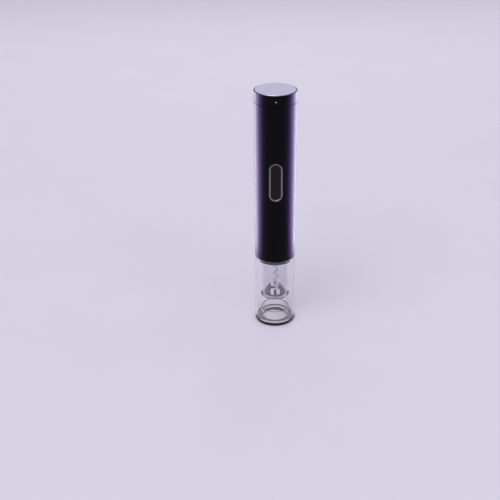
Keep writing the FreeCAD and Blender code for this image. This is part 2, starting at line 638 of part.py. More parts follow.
def worm_shape():
    """Pointed spiral hanging from a plain shank whose tang is pinned in the carriage."""
    lead = amount("lead")
    reach = amount("worm_coil_radius")
    wire = amount("worm_wire_radius")
    tip = UP * amount("worm_tip_height")
    spiral = wound_wire(reach, wire, lead, int(amount("worm_turns")))
    spiral = spiral.translated(tip)
    slope = math.atan2(lead, 2 * math.pi * reach)
    back = FreeCAD.Vector(0, -math.cos(slope), -math.sin(slope))
    point = Part.makeCone(wire, amount("worm_tip_radius"), amount("worm_point"),
                          tip + FreeCAD.Vector(reach, 0, 0), back)
    shank = Part.makeCylinder(amount("shank_radius"), amount("shank_top - shank_bottom"),
                              UP * amount("shank_bottom"))
    tang = Part.makeCylinder(amount("tang_radius"), amount("tang_top - shank_top"),
                             UP * amount("shank_top"))
    side = amount("pin_reach")
    pin = Part.makeCylinder(amount("pin_radius"), 2 * side, FreeCAD.Vector(
        -side, 0, amount("pin_height")), FreeCAD.Vector(1, 0, 0))
    return spiral.fuse(shank.fuse(tang).cut(pin)).fuse(point)


solid("worm", worm_shape())

# ---------------------------------------------------------------- gear train

second_plate = rod("carrier_radius", "second_plate_top - second_plate_bottom", (
    "0", "0", "second_plate_bottom"))
second_pins = [rod("planet_pin_radius", "second_gear_top - second_plate_top + 0.5", (
    "planet_circle", "0", "second_plate_top - 0.5"), "z", angle) for angle in THIRDS]
drive_hex = hex_prism("hex_width", "hex_bottom", "second_plate_bottom + 0.5")
second_hub = rod("tube_bore_radius - 1", "second_plate_bottom - tube_top + 0.1", (
    "0", "0", "tube_top + 0.1"))
finish("second_carrier", join([second_plate, drive_hex, second_hub] + second_pins))

first_plate = rod("carrier_radius", "first_plate_top - first_plate_bottom", (
    "0", "0", "first_plate_bottom"))
first_pins = [rod("planet_pin_radius", "first_gear_top - first_plate_top + 0.5", (
    "planet_circle", "0", "first_plate_top - 0.5"), "z", angle) for angle in THIRDS]
second_sun = solid(None, wheel("sun_teeth", None, "second_gear_bottom",
                               "first_plate_bottom + 0.5"))
finish("first_carrier", join([first_plate, second_sun] + first_pins))

for number, angle in enumerate(THIRDS, start=1):
    planet("first_planet_%d" % number, "first_gear_bottom", "first_gear_top", angle)
    planet("second_planet_%d" % number, "second_gear_bottom", "second_gear_top", angle)

solid("sun_pinion", wheel("sun_teeth", "shaft_radius", "pinion_bottom", "first_gear_top"))

ring_count = int(amount("ring_teeth"))
ring_pitch = amount("gear_module * ring_teeth / 2")
ring_gap = toothed_face(
    ring_count, ring_pitch - amount("gear_module * tooth_height"),
    ring_pitch + amount("gear_module * tooth_depth"), -amount("tooth_slack"), 180 / ring_count)
ring_gap.translate(FreeCAD.Vector(0, 0, amount("head_flange_top")))
ring_space = solid(None, ring_gap.extrude(
    FreeCAD.Vector(0, 0, amount("ring_top - head_flange_top"))))
ring_blank = rod("gearbox_radius", "ring_top - head_flange_top", ("0", "0", "head_flange_top"))
ring_screw_holes = [rod("screw_radius", "ring_top", (
    "gear_screw_circle", "0", "head_flange_bottom"), "z", angle) for angle in lamp_angles]
finish("ring_gear", cut(ring_blank, [ring_space] + ring_screw_holes))

# ---------------------------------------------------------------- motor

motor_plate = ring("motor_nose_radius + 0.1", "gearbox_radius", "ring_top", "motor_plate_top")
plate_holes = [rod("screw_radius", "9", ("gear_screw_circle", "0", "ring_top - 3"), "z", angle)
               for angle in lamp_angles]
for angle in (0, 180):
    plate_holes.append(rod("screw_radius", "9", ("motor_screw_circle", "0", "ring_top - 3"),
                           "z", angle))
    plate_holes.append(rod("head_radius + screw_gap", "3 + head_height", (
        "motor_screw_circle", "0", "ring_top - 3"), "z", angle))
finish("motor_plate", cut(motor_plate, plate_holes))

finish("gearbox_screws", group([
    screw(("gear_screw_circle", "0", "motor_plate_top + head_height"),
          "motor_plate_top - head_flange_bottom", "z", angle, down=True)
    for angle in lamp_angles]))
finish("motor_screws", group([
    screw(("motor_screw_circle", "0", "ring_top"), "motor_screw_length - 0.6", "z", angle)
    for angle in (0, 180)]))

can = lathe((
    ("shaft_radius + shaft_gap", "ring_top + 0.5"), ("motor_nose_radius", "ring_top + 0.5"),
    ("motor_nose_radius", "motor_plate_top"), ("motor_radius", "motor_plate_top"),
    ("motor_radius", "can_top"), ("motor_bore_radius", "can_top"),
    ("motor_bore_radius", "motor_floor"), ("shaft_radius + shaft_gap", "motor_floor")))
can = ease(can, "can_round", (("motor_radius", "motor_plate_top"),))
can_holes = [rod("screw_radius", "4", ("motor_screw_circle", "0", "motor_plate_top - 1"), "z",
                 angle) for angle in (0, 180)]
finish("motor_can", cut(can, can_holes))

magnet_ring = ring("magnet_inner_radius", "motor_bore_radius", "magnet_bottom", "magnet_top")
finish("motor_magnets", cut(magnet_ring, [block((
    "magnet_slit", "4 * motor_radius", "overall_height"), (
    "-magnet_slit / 2", "-2 * motor_radius", "0"))]))
core = ring("shaft_radius", "core_radius", "core_bottom", "core_top")
core_slots = [block(("core_radius", "core_slot", "overall_height"), (
    "core_hub_radius", "-core_slot / 2", "0"), angle) for angle in THIRDS]
commutator = ring("shaft_radius", "commutator_radius", "commutator_bottom", "commutator_top")
collar = ring("shaft_radius", "commutator_radius + 1", "core_top - 1", "commutator_bottom + 1")
finish("motor_rotor", join([cut(core, core_slots), collar, commutator]))
finish("motor_shaft", rod("shaft_radius", "shaft_top - pinion_bottom", (
    "0", "0", "pinion_bottom")))
end_cap = lathe((
    ("shaft_radius + shaft_gap", "can_top"), ("motor_cap_radius", "can_top"),
    ("motor_cap_radius", "motor_top"), ("shaft_radius + shaft_gap", "motor_top")))
terminal_slots = [block(("terminal_thickness", "terminal_width", "overall_height"), (
    "terminal_x - terminal_thickness / 2", "-terminal_width / 2", "0"), angle)
    for angle in (0, 180)]
finish("motor_end_cap", cut(end_cap, terminal_slots))
finish("motor_terminals", group([
    block(("terminal_thickness", "terminal_width", "motor_top - can_top + terminal_rise"), (
        "terminal_x - terminal_thickness / 2", "-terminal_width / 2", "can_top"), angle)
    for angle in (0, 180)]))

# ---------------------------------------------------------------- inner frame halves

tube_wall = ring("frame_bore_radius", "frame_radius", "frame_bottom", "frame_top")
low_web = ring("thread_radius + rib_gap", "frame_bore_radius + 0.5", "low_rib",
               "low_rib + rib_thickness")
motor_web = ring("motor_radius + rib_gap", "frame_bore_radius + 0.5", "motor_rib",
                 "motor_rib + rib_thickness")
gear_web = ring("gearbox_radius + rib_gap", "frame_bore_radius + 0.5", "head_flange_bottom",
                "head_flange_top")


def frame_half(label, side):
    """Half of the inner frame; side is -1 for the front and 1 for the rear."""
    solids = [tube_wall, low_web, motor_web, gear_web]
    for level in ("low_boss_height", "high_boss_height"):
        for x in ("frame_boss_x", "-frame_boss_x"):
            start = "0" if side > 0 else "-frame_boss_depth"
            solids.append(rod("frame_boss_radius", "frame_boss_depth", (x, start, level), "y"))
    if side > 0:
        for x in ("post_x", "-post_x"):
            solids.append(rod("post_radius", "frame_top - post_bottom", (
                x, "post_y", "post_bottom")))
        for angle in (0, 180):
            solids.append(block(("5", "1.6", "frame_top - post_bottom"), (
                "post_x", "post_y - 0.8" if angle == 0 else "-post_y - 0.8", "post_bottom"),
                angle))
    reach = "3 * body_radius"
    keep = block((reach, "1.5 * body_radius", "overall_height"), (
        "-1.5 * body_radius", "0" if side > 0 else "-1.5 * body_radius", "0"))
    half = overlap(join(solids), keep)
    holes = []
    for level in ("low_boss_height", "high_boss_height"):
        for x in ("frame_boss_x", "-frame_boss_x"):
            holes.append(rod("screw_radius", "3 * frame_boss_depth", (
                x, "-frame_boss_depth + 1.5", level), "y"))
            holes.append(rod("head_radius + screw_gap", "body_radius", (
                x, "frame_screw_seat", level), "y"))
    if side > 0:
        for x in ("post_x", "-post_x"):
            holes.append(rod("screw_radius", "20", (x, "post_y", "post_bottom + 2")))
    else:
        holes.append(block((
            "frame_window_width", "body_radius", "frame_window_top - frame_window_bottom"), (
            "-frame_window_width / 2", "-body_radius - 4", "frame_window_bottom")))
        holes.append(block(("2 * lamp_wire_x + 2", "2.6", "frame_window_bottom"), (
            "-lamp_wire_x - 1", "-lamp_wire_depth - 0.8", "0")))
    half = cut(half, holes)
    if side < 0:
        half = join([half] + board_cheeks())
    finish(label, half)


def board_cheeks():
    """Side rails that hold the switch board inside the frame window."""
    inner = "switch_board_width / 2 + rail_gap"
    tab_inner = "switch_board_width / 2 + tab_overlap - tab_width"
    rails = []
    for side in (-1, 1):
        rail_x = inner if side > 0 else "-(%s) - rail_width" % inner
        rails.append(block(("rail_width", "rail_depth", "rail_length"), (
            rail_x, "-switch_board_front - rail_front",
            "switch_board_bottom + rail_lift")))
        tab_x = tab_inner if side > 0 else "-(%s) - tab_width" % tab_inner
        rails.append(block(("tab_width", "tab_thickness", "rail_length"), (
            tab_x, "-switch_board_front + switch_board_thickness + rail_gap",
            "switch_board_bottom + rail_lift")))
    return rails


frame_half("frame_front", -1)
frame_half("frame_rear", 1)
finish("frame_screws", group([
    screw((x, "frame_screw_seat + head_height", level), "frame_screw_length", "y")
    for level in ("low_boss_height", "high_boss_height")
    for x in ("frame_boss_x", "-frame_boss_x")]))

# ---------------------------------------------------------------- battery bay

CELLS = (
    ("cell_front_left", -1, -1, True), ("cell_front_right", 1, -1, False),
    ("cell_rear_right", 1, 1, True), ("cell_rear_left", -1, 1, False))


def cell_at(x, y, z):
    return ("%d * cell_offset" % x, "%d * cell_offset" % y, z)


holder = rod("holder_radius", "holder_top - shelf_top", ("0", "0", "shelf_top"))
holder_cutters = [flange_room]
for label, x, y, nub_up in CELLS:
    holder_cutters.append(rod("cell_bore_radius", "holder_top", cell_at(x, y, "holder_floor")))
for angle in (0, 90, 180, 270):
    holder_cutters.append(rod("flute_radius", "holder_top", (
        "flute_circle", "0", "holder_floor + flute_lift"), "z", angle))
holder_cutters.append(block(("key_width + 1.2", "4", "holder_top"), (
    "-key_width / 2 - 0.6", "-holder_radius - 3", "shelf_top - 1")))
for x in ("post_x", "-post_x"):
    holder_cutters.append(rod("screw_radius + screw_gap", "5", (x, "post_y", "shelf_top - 1")))
    holder_cutters.append(rod("head_radius + screw_gap", "holder_top", (
        x, "post_y", "holder_floor")))
holder_cutters.append(block(("contact_width + 0.4", "8", "1"), (
    "cell_offset - contact_width / 2 - 0.2", "-4", "holder_floor")))
for x, y in SUPPLY_HOLES:
    holder_cutters.append(rod("thin_wire_radius + screw_gap", "5", (x, y, "shelf_top - 1")))
finish("battery_holder", cut(holder, holder_cutters))
finish("holder_screws", group([
    screw((x, "post_y", "holder_floor + head_height"), "holder_floor - holder_screw_bottom",
          "z", 0, down=True) for x in ("post_x", "-post_x")]))

for label, x, y, nub_up in CELLS:
    low = "cell_bottom" if nub_up else "cell_bottom + nub_height"
    nub_low = "cell_bottom + cell_length" if nub_up else "cell_bottom"
    finish(label, join([
        rod("cell_radius", "cell_length", cell_at(x, y, low)),
        rod("cell_nub_radius", "nub_height", cell_at(x, y, nub_low))]))


def contact_plate(xs, ys, z):
    """Flat contact strip wide enough for the cells it touches."""
    reach = "contact_width"
    length_x = "%s + %g * cell_offset" % (reach, xs[1] - xs[0])
    length_y = "%s + %g * cell_offset" % (reach, ys[1] - ys[0])
    return block((length_x, length_y, "contact_thickness"), (
        "%g * cell_offset - contact_width / 2" % xs[0],
        "%g * cell_offset - contact_width / 2" % ys[0], z))


def contact_button(x, y, bottom, top):
    return rod("spring_radius", "(%s) - (%s)" % (top, bottom), cell_at(x, y, bottom))


# Cells with the nub up stand on a spring; the others stand nub down on a raised contact.
def cell_spring(x, y, seat, tip):
    """Contact spring welded to its plate at the seat, its last turn against a cell at the tip."""
    upright = amount(tip) > amount(seat)
    low, high = (seat, tip) if upright else (tip, seat)
    lift = "spring_wire + spring_gap" if not upright else "0.6 * spring_wire"
    height = amount("(%s) - (%s) - 1.6 * spring_wire - spring_gap" % (high, low))
    turns = int(amount("spring_turns"))
    shape = wound_wire(amount("spring_radius - spring_wire"), amount("spring_wire"),
                       height / turns, turns)
    return place(solid(None, shape), cell_at(x, y, "(%s) + %s" % (low, lift)))


lower_seat = "holder_floor + contact_thickness"
upper_seat = "plug_floor - contact_thickness"
cell_top = "cell_bottom + cell_length + nub_height"
front_end = join([contact_plate((-1, -1), (-1, -1), "holder_floor"),
                  cell_spring(-1, -1, lower_seat, "cell_bottom")])
rear_end = join([contact_plate((-1, -1), (1, 1), "holder_floor"),
                 contact_button(-1, 1, lower_seat, "cell_bottom")])
side_link = join([contact_plate((1, 1), (-1, 1), "holder_floor"),
                  contact_button(1, -1, lower_seat, "cell_bottom"),
                  cell_spring(1, 1, lower_seat, "cell_bottom")])
finish("lower_contacts", group([front_end, rear_end, side_link]))

upper_links = []
for y in (-1, 1):
    nub_x = [x for label, x, cell_y, up in CELLS if cell_y == y and up][0]
    upper_links.append(join([
        contact_plate((-1, 1), (y, y), upper_seat),
        contact_button(nub_x, y, cell_top, upper_seat),
        cell_spring(-nub_x, y, upper_seat, cell_top)]))
finish("cap_contacts", group(upper_links))

# ---------------------------------------------------------------- battery cap

cap = lathe((
    ("body_radius - cap_wall", "cap_bottom"), ("body_radius", "cap_bottom"),
    ("body_radius", "cap_rim_top"), ("cap_rim_radius", "cap_rim_top"),
    ("cap_rim_radius", "disc_seat"), ("0", "disc_seat"), ("0", "cap_ceiling"),
    ("body_radius - cap_wall", "cap_ceiling")))
cap = ease(cap, "rim_chamfer", (("body_radius", "cap_rim_top"),))
cap = ease(cap, "cap_foot_chamfer", (("body_radius", "cap_bottom"),), "Chamfer")
dot_hole = rod("dot_radius", "3", ("0", "-body_radius - 3 + dot_depth", "dot_height"), "y")
finish("battery_cap", cut(cap, [dot_hole]))
dot_blank = rod("body_radius - 0.02", "6", ("0", "0", "dot_height - 3"))
finish("cap_dot", overlap(dot_blank, rod("dot_radius", "3", (
    "0", "-body_radius - 3 + dot_depth", "dot_height"), "y")))

disc = lathe((("0", "disc_seat"), ("disc_radius", "disc_seat"),
              ("disc_radius", "overall_height"), ("0", "overall_height")))
finish("top_disc", ease(disc, "disc_chamfer", (("disc_radius", "overall_height"),), "Chamfer"))

plug = lathe((
    ("plug_radius - plug_wall", "plug_bottom"), ("plug_radius", "plug_bottom"),
    ("plug_radius", "cap_ceiling"), ("plug_radius - plug_wall", "cap_ceiling"),
    ("plug_radius - plug_wall", "plug_floor_top"), ("0", "plug_floor_top"),
    ("0", "plug_floor"), ("plug_radius - plug_wall", "plug_floor")))
plug_key = block(("key_width", "key_radius - plug_radius + 1", "cap_bottom - plug_bottom"), (
    "-key_width / 2", "-key_radius", "plug_bottom"))
finish("contact_plug", join([plug, plug_key]))

# ---------------------------------------------------------------- wires


def wire_run(points, radius, bend):
    """Round wire along straight runs joined by tangent arcs."""
    spots = [FreeCAD.Vector(*point) for point in points]
    edges = []
    start = spots[0]
    for index in range(1, len(spots) - 1):
        corner = spots[index]
        back = (spots[index - 1] - corner).normalize()
        on = (spots[index + 1] - corner).normalize()
        half = back.getAngle(on) / 2
        trim = bend / math.tan(half)
        leave = corner + back * trim
        arrive = corner + on * trim
        middle_line = (back + on).normalize()
        middle = corner + middle_line * (bend / math.sin(half) - bend)
        edges.append(Part.makeLine(start, leave))
        edges.append(Part.Arc(leave, middle, arrive).toShape())
        start = arrive
    edges.append(Part.makeLine(start, spots[-1]))
    path = Part.Wire(edges)
    section = Part.Wire(Part.makeCircle(radius, spots[0], spots[1] - spots[0]))
    return path.makePipeShell([section], True, False)


thick_wire = amount("thick_wire_radius")
thin_wire = amount("thin_wire_radius")
bend = amount("wire_bend")
board_back = -amount("switch_board_front - switch_board_thickness")
drop_line = -amount("wire_drop")
motor_level = amount("motor_top + 0.9")
supply_level = amount("shelf_bottom + 1.1")
motor_joint = amount("switch_board_top - 2.5")
supply_joint = amount("switch_board_top - 5")
wires = []
for side in (-1, 1):
    x = side * amount("terminal_x")
    wires.append(wire_run((
        (x, -1.2, motor_level), (x, drop_line, motor_level), (x, drop_line, motor_joint),
        (x, board_back, motor_joint)), thick_wire, bend))
    x = side * amount("lamp_wire_x")
    front = -amount("switch_board_front")
    lamp_line = -amount("lamp_wire_depth")
    lamp_joint = amount("switch_board_bottom + 1.5")
    lamp_board_top = amount("board_bottom + board_thickness")
    wires.append(wire_run((
        (x, front, lamp_joint), (x, lamp_line, lamp_joint), (x, lamp_line, lamp_board_top)),
        thin_wire, bend))
for x, y in SUPPLY_HOLES:
    x = amount(x)
    y = amount(y)
    wires.append(wire_run((
        (x, y, amount("holder_floor")), (x, y, supply_level), (x, drop_line, supply_level),
        (x, drop_line, supply_joint), (x, board_back, supply_joint)), thin_wire, bend))
solid("wires", Part.makeCompound(wires))

# ---------------------------------------------------------------- check and write

doc.recompute()
os.makedirs("parts", exist_ok=True)
for item in doc.Objects:
    if "Invalid" in item.State or "Error" in item.State:
        raise RuntimeError("%s (%s) did not build: %s" % (item.Label, item.Name, item.State))
for item in finished:
    shape = item.Shape
    if shape.isNull() or not shape.isValid() or not shape.Solids:
        raise RuntimeError("%s has no sound solid" % item.Label)
    shape.exportStep("parts/%s.step" % item.Label)
    box = shape.BoundBox
    print("%-18s solids %2d  volume %10.1f  z %6.1f to %6.1f" % (
        item.Label, len(shape.Solids), shape.Volume, box.ZMin, box.ZMax))
print(len(finished), "parts")
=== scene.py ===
import json
import math

import bmesh
import bpy
from mathutils import Euler, Matrix, Vector


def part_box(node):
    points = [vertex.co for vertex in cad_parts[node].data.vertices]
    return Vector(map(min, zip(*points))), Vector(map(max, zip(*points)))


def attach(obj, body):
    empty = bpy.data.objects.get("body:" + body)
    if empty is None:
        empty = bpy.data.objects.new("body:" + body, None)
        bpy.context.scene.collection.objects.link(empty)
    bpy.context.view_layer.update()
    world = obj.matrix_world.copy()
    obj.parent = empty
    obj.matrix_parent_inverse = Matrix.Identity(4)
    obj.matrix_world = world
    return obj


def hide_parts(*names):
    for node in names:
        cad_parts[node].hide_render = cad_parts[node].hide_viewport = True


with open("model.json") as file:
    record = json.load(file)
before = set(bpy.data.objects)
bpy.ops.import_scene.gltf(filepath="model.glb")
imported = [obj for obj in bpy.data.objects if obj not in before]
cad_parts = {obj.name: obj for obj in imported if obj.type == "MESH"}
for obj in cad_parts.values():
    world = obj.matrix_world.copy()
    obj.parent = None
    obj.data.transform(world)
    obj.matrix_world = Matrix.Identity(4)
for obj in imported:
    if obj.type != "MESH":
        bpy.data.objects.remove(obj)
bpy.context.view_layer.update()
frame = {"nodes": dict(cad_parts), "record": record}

# Lengths are in millimetres unless a comment says otherwise, and MM turns them into metres.
MM = 0.001
TURN = 2 * math.pi

# Mesh quality: segments in a rounded corner, how close to a corner its support points stand, the
# angle in degrees past which an edge is shaded sharp, and the segments round each kind of piece.
CORNER_STEPS = 6
SUPPORT = 0.35
SHARP = 32
BODY_STEPS = 384
CLEAR_STEPS = 256
CELL_STEPS = 96
SMALL_STEPS = 64
CUTTER_STEPS = 48


# ---------------------------------------------------------------- sizes read from the frame

def outer_radius(name):
    """Outer radius of an upright round CAD node."""
    return round(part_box(name)[1].x / MM, 2)


def levels_of(name):
    """Lowest and highest level of a CAD node."""
    low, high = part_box(name)
    return round(low.z / MM, 2), round(high.z / MM, 2)


def middle_of(name):
    """Level half way up a CAD node."""
    return round(sum(levels_of(name)) / 2, 2)


BODY_RADIUS = outer_radius("body_shell")
BODY_BOTTOM, BODY_TOP = levels_of("body_shell")
CAP_BOTTOM, CAP_TOP = levels_of("battery_cap")
DISC_RADIUS = outer_radius("top_disc")
DISC_BOTTOM, DISC_TOP = levels_of("top_disc")
DOT_HEIGHT = middle_of("cap_dot")
BUTTON_HEIGHT = middle_of("button_bezel")
SLEEVE_RADIUS = outer_radius("clear_sleeve")
SLEEVE_BOTTOM, SLEEVE_TOP = levels_of("clear_sleeve")
LIP_RADIUS = outer_radius("guide_tube")
LIP_BOTTOM, GUIDE_TOP = levels_of("guide_tube")
FOOT_BOTTOM, FOOT_TOP = levels_of("base_ring")
GRIPPER_RADIUS = outer_radius("cork_gripper")
GRIPPER_BOTTOM, GRIPPER_TOP = levels_of("cork_gripper")
CELL_BOTTOM, CELL_TOP = levels_of("cell_front_left")
TANG_TOP = levels_of("worm")[1]


# ---------------------------------------------------------------- mesh helpers

def smooth(mesh, sharp=SHARP):
    """Shade a mesh smooth except where faces meet at more than sharp degrees."""
    mesh.polygons.foreach_set("use_smooth", [True] * len(mesh.polygons))
    mesh.set_sharp_from_angle(angle=math.radians(sharp))


def finish_mesh(name, bm, sharp=SHARP):
    """Shaded mesh object from bmesh data."""
    bmesh.ops.remove_doubles(bm, verts=bm.verts, dist=1e-7)
    bmesh.ops.recalc_face_normals(bm, faces=bm.faces)
    mesh = bpy.data.meshes.new(name)
    bm.to_mesh(mesh)
    bm.free()
    smooth(mesh, sharp)
    item = bpy.data.objects.new(name, mesh)
    bpy.context.collection.objects.link(item)
    return item


def circle(bm, radius, height, steps, centre=(0, 0)):
    """Level ring of vertices about an upright axis."""
    ring = []
    for step in range(steps):
        angle = TURN * step / steps
        ring.append(bm.verts.new((
            (centre[0] + radius * math.cos(angle)) * MM,
            (centre[1] + radius * math.sin(angle)) * MM,
            height * MM)))
    return ring


def bridge(bm, rings, wrap=False):
    """Faces from each ring of vertices to the next, and from the last to the first if wrapped."""
    following = rings[1:] + rings[:1] if wrap else rings[1:]
    for first, second in zip(rings, following):
        for step in range(len(first)):
            ahead = (step + 1) % len(first)
            bm.faces.new((first[step], first[ahead], second[ahead], second[step]))


def close_ends(bm, rings):
    """Faces over the first and the last ring."""
    bm.faces.new(list(reversed(rings[0])))
    bm.faces.new(rings[-1])


def softened(profile, closed):
    """Polyline from (radius, height, rounding) corners, with arcs and support points added."""
    count = len(profile)
    corners = [Vector(point[:2]) for point in profile]
    pieces = []
    for index, (x, y, size) in enumerate(profile):
        here = corners[index]
        if not closed and index in (0, count - 1) or size <= 0:
            pieces.append([here])
            continue
        back = corners[index - 1] - here
        on = corners[(index + 1) % count] - here
        half = back.angle(on) / 2
        trim = min(size / math.tan(half), back.length * 0.48, on.length * 0.48)
        radius = trim * math.tan(half)
        centre = here + (back.normalized() + on.normalized()).normalized() * radius / math.sin(half)
        start = here + back.normalized() * trim - centre
        stop = here + on.normalized() * trim - centre
        arc = []
        for step in range(CORNER_STEPS + 1):
            spoke = start.slerp(stop, step / CORNER_STEPS).normalized() * radius
            arc.append(centre + spoke)
        pieces.append(arc)
    points = []
    last = count if closed else count - 1
    for index in range(count):
        points.extend(pieces[index])
        if index >= last:
            continue
        start = pieces[index][-1]
        stop = pieces[(index + 1) % count][0]
        run = (stop - start).length
        if run > 3 * SUPPORT:
            points.append(start.lerp(stop, SUPPORT / run))
            points.append(start.lerp(stop, 1 - SUPPORT / run))
    return points


def divided(points, closed, longest):
    """The same polyline with no run longer than longest."""
    result = []
    count = len(points)
    for index in range(count):
        start = points[index]
        result.append(start)
        if not closed and index == count - 1:
            break
        stop = points[(index + 1) % count]
        parts = max(1, math.ceil((stop - start).length / longest))
        for part in range(1, parts):
            result.append(start.lerp(stop, part / parts))
    return result


def lathe(name, profile, steps, longest, closed=True, centre=(0, 0)):
    """Turned piece about an upright axis from (radius, height, rounding) corners."""
    points = divided(softened(profile, closed), closed, longest)
    bm = bmesh.new()
    bridge(bm, [circle(bm, radius, height, steps, centre) for radius, height in points], closed)
    return finish_mesh(name, bm)


def add_bar(bm, radius, start, stop, steps, rim=0):
    """Closed round bar between two points, its ends bevelled by rim."""
    start, stop = Vector(start), Vector(stop)
    turn = (stop - start).to_track_quat("Z", "Y").to_matrix()
    length = (stop - start).length
    outline = [(radius, 0), (radius, length)]
    if rim:
        outline = [(radius - rim, 0), (radius, rim), (radius, length - rim), (radius - rim, length)]
    rings = []
    for reach, along in outline:
        ring = []
        for step in range(steps):
            angle = TURN * step / steps
            spoke = Vector((reach * math.cos(angle), reach * math.sin(angle), along))
            ring.append(bm.verts.new((start + turn @ spoke) * MM))
        rings.append(ring)
    bridge(bm, rings)
    close_ends(bm, rings)


def combine(item, others, operation="DIFFERENCE", sharp=SHARP):
    """Cut other objects out of an item, or join them to it, and use them up."""
    for other in others:
        change = item.modifiers.new("combine", "BOOLEAN")
        change.operation = operation
        change.solver = "EXACT"
        change.object = other
    graph = bpy.context.evaluated_depsgraph_get()
    mesh = bpy.data.meshes.new_from_object(item.evaluated_get(graph))
    item.modifiers.clear()
    spent = [item.data] + [other.data for other in others]
    item.data = mesh
    for other in others:
        bpy.data.objects.remove(other)
    for old in spent:
        bpy.data.meshes.remove(old)
    smooth(mesh, sharp)


def bar_cutter(radius, start, stop):
    """Round bar to cut with."""
    bm = bmesh.new()
    add_bar(bm, radius, start, stop, CUTTER_STEPS)
    return finish_mesh("bar_cutter", bm)


def box_cutter(low, high):
    """Square block to cut with, from its lowest to its highest corner."""
    bm = bmesh.new()
    bmesh.ops.create_cube(bm, size=1)
    size = Vector(high) - Vector(low)
    middle = (Vector(high) + Vector(low)) / 2
    for vert in bm.verts:
        vert.co = Vector([vert.co[axis] * size[axis] + middle[axis] for axis in range(3)]) * MM
    return finish_mesh("box_cutter", bm)


# ---------------------------------------------------------------- material helpers

def node(tree, kind, inputs=None, **settings):
    """Shader node with its settings, socket values and incoming links."""
    item = tree.nodes.new("ShaderNode" + kind)
    for key, value in settings.items():
        setattr(item, key, value)
    for key, value in (inputs or {}).items():
        if isinstance(value, bpy.types.NodeSocket):
            tree.links.new(value, item.inputs[key])
        else:
            item.inputs[key].default_value = value
    return item


def blank(name):
    """New material with a Principled shader; returns (material, tree, shader)."""
    material = bpy.data.materials.new(name)
    material.use_nodes = True
    tree = material.node_tree
    shader = tree.nodes["Principled BSDF"]
    return material, tree, shader


def place_of(tree):
    """Place of a surface point in the object's own frame, in metres."""
    return node(tree, "TexCoord").outputs["Object"]


def noise(tree, where, grain, detail=3.0, rough=0.55, stretch=(1, 1, 1)):
    """Noise whose features are about grain millimetres, drawn out by stretch."""
    spread = node(tree, "VectorMath", {0: where, 1: [1 / each for each in stretch]},
                  operation="MULTIPLY").outputs[0]
    return node(tree, "TexNoise", {
        "Vector": spread, "Scale": 1000 / grain, "Detail": detail, "Roughness": rough,
    }).outputs["Fac"]


def span(tree, value, low, high, start=0.3, stop=0.7):
    """Value carried from start..stop to low..high."""
    return node(tree, "MapRange", {
        "Value": value, "From Min": start, "From Max": stop, "To Min": low, "To Max": high,
    }).outputs["Result"]


def tint(tree, factor, first, second):
    """Colour mixed from first to second by a factor from 0 to 1."""
    return node(tree, "Mix", {"Factor": factor, "A": (*first, 1), "B": (*second, 1)},
                data_type="RGBA").outputs["Result"]


def relief(tree, height, depth, strength, under=None):
    """Bump of that depth, laid over another bump if there is one under it."""
    inputs = {"Height": height, "Distance": depth * MM, "Strength": strength}
    if under is not None:
        inputs["Normal"] = under
    return node(tree, "Bump", inputs).outputs["Normal"]


def link(tree, socket, shader, name):
    """Feed a socket into one of the shader's inputs."""
    tree.links.new(socket, shader.inputs[name])


def shade(colour, factor):
    """The same colour made darker or lighter."""
    return tuple(min(1.0, channel * factor) for channel in colour)


def moulded(name, colour, rough, grain, depth, coat=0.0, gloss=0.5):
    """Moulded plastic: faint colour drift, fine texture of that grain and depth, uneven sheen."""
    material, tree, shader = blank(name)
    where = place_of(tree)
    drift = noise(tree, where, 9, detail=4)
    fine = noise(tree, where, grain, detail=2)
    link(tree, tint(tree, drift, shade(colour, 0.88), shade(colour, 1.12)), shader,
         "Base Color")
    link(tree, span(tree, noise(tree, where, 3, detail=5), rough - 0.05, rough + 0.06), shader,
         "Roughness")
    link(tree, relief(tree, fine, depth, 0.5), shader, "Normal")
    shader.inputs["Specular IOR Level"].default_value = gloss
    shader.inputs["Coat Weight"].default_value = coat
    shader.inputs["Coat Roughness"].default_value = 0.12
    return material


def metal(name, colour, rough, stretch, grain, depth=0.004):
    """Machined or drawn metal: fine lines drawn out by stretch, and uneven polish."""
    material, tree, shader = blank(name)
    where = place_of(tree)
    lines = noise(tree, where, grain, detail=3, rough=0.6, stretch=stretch)
    drift = noise(tree, where, 6, detail=4)
    link(tree, tint(tree, drift, shade(colour, 0.9), shade(colour, 1.08)), shader, "Base Color")
    link(tree, span(tree, lines, rough - 0.07, rough + 0.1), shader, "Roughness")
    link(tree, relief(tree, lines, depth, 0.6), shader, "Normal")
    shader.inputs["Metallic"].default_value = 1.0
    return material


ACRYLIC_IOR = 1.49


def clear(name, colour, rough, haze=0.0):
    """Polished clear plastic with faint moulding drift and a few dull patches."""
    material, tree, shader = blank(name)
    where = place_of(tree)
    smear = noise(tree, where, 14, detail=5, rough=0.6)
    link(tree, span(tree, smear, rough, rough + 0.05, 0.45, 0.8), shader, "Roughness")
    link(tree, tint(tree, noise(tree, where, 30), shade(colour, 0.985), colour), shader,
         "Base Color")
    link(tree, relief(tree, noise(tree, where, 22, detail=1), 0.02, 0.35), shader, "Normal")
    shader.inputs["Transmission Weight"].default_value = 1 - haze
    shader.inputs["IOR"].default_value = ACRYLIC_IOR
    return material


# ---------------------------------------------------------------- finishes

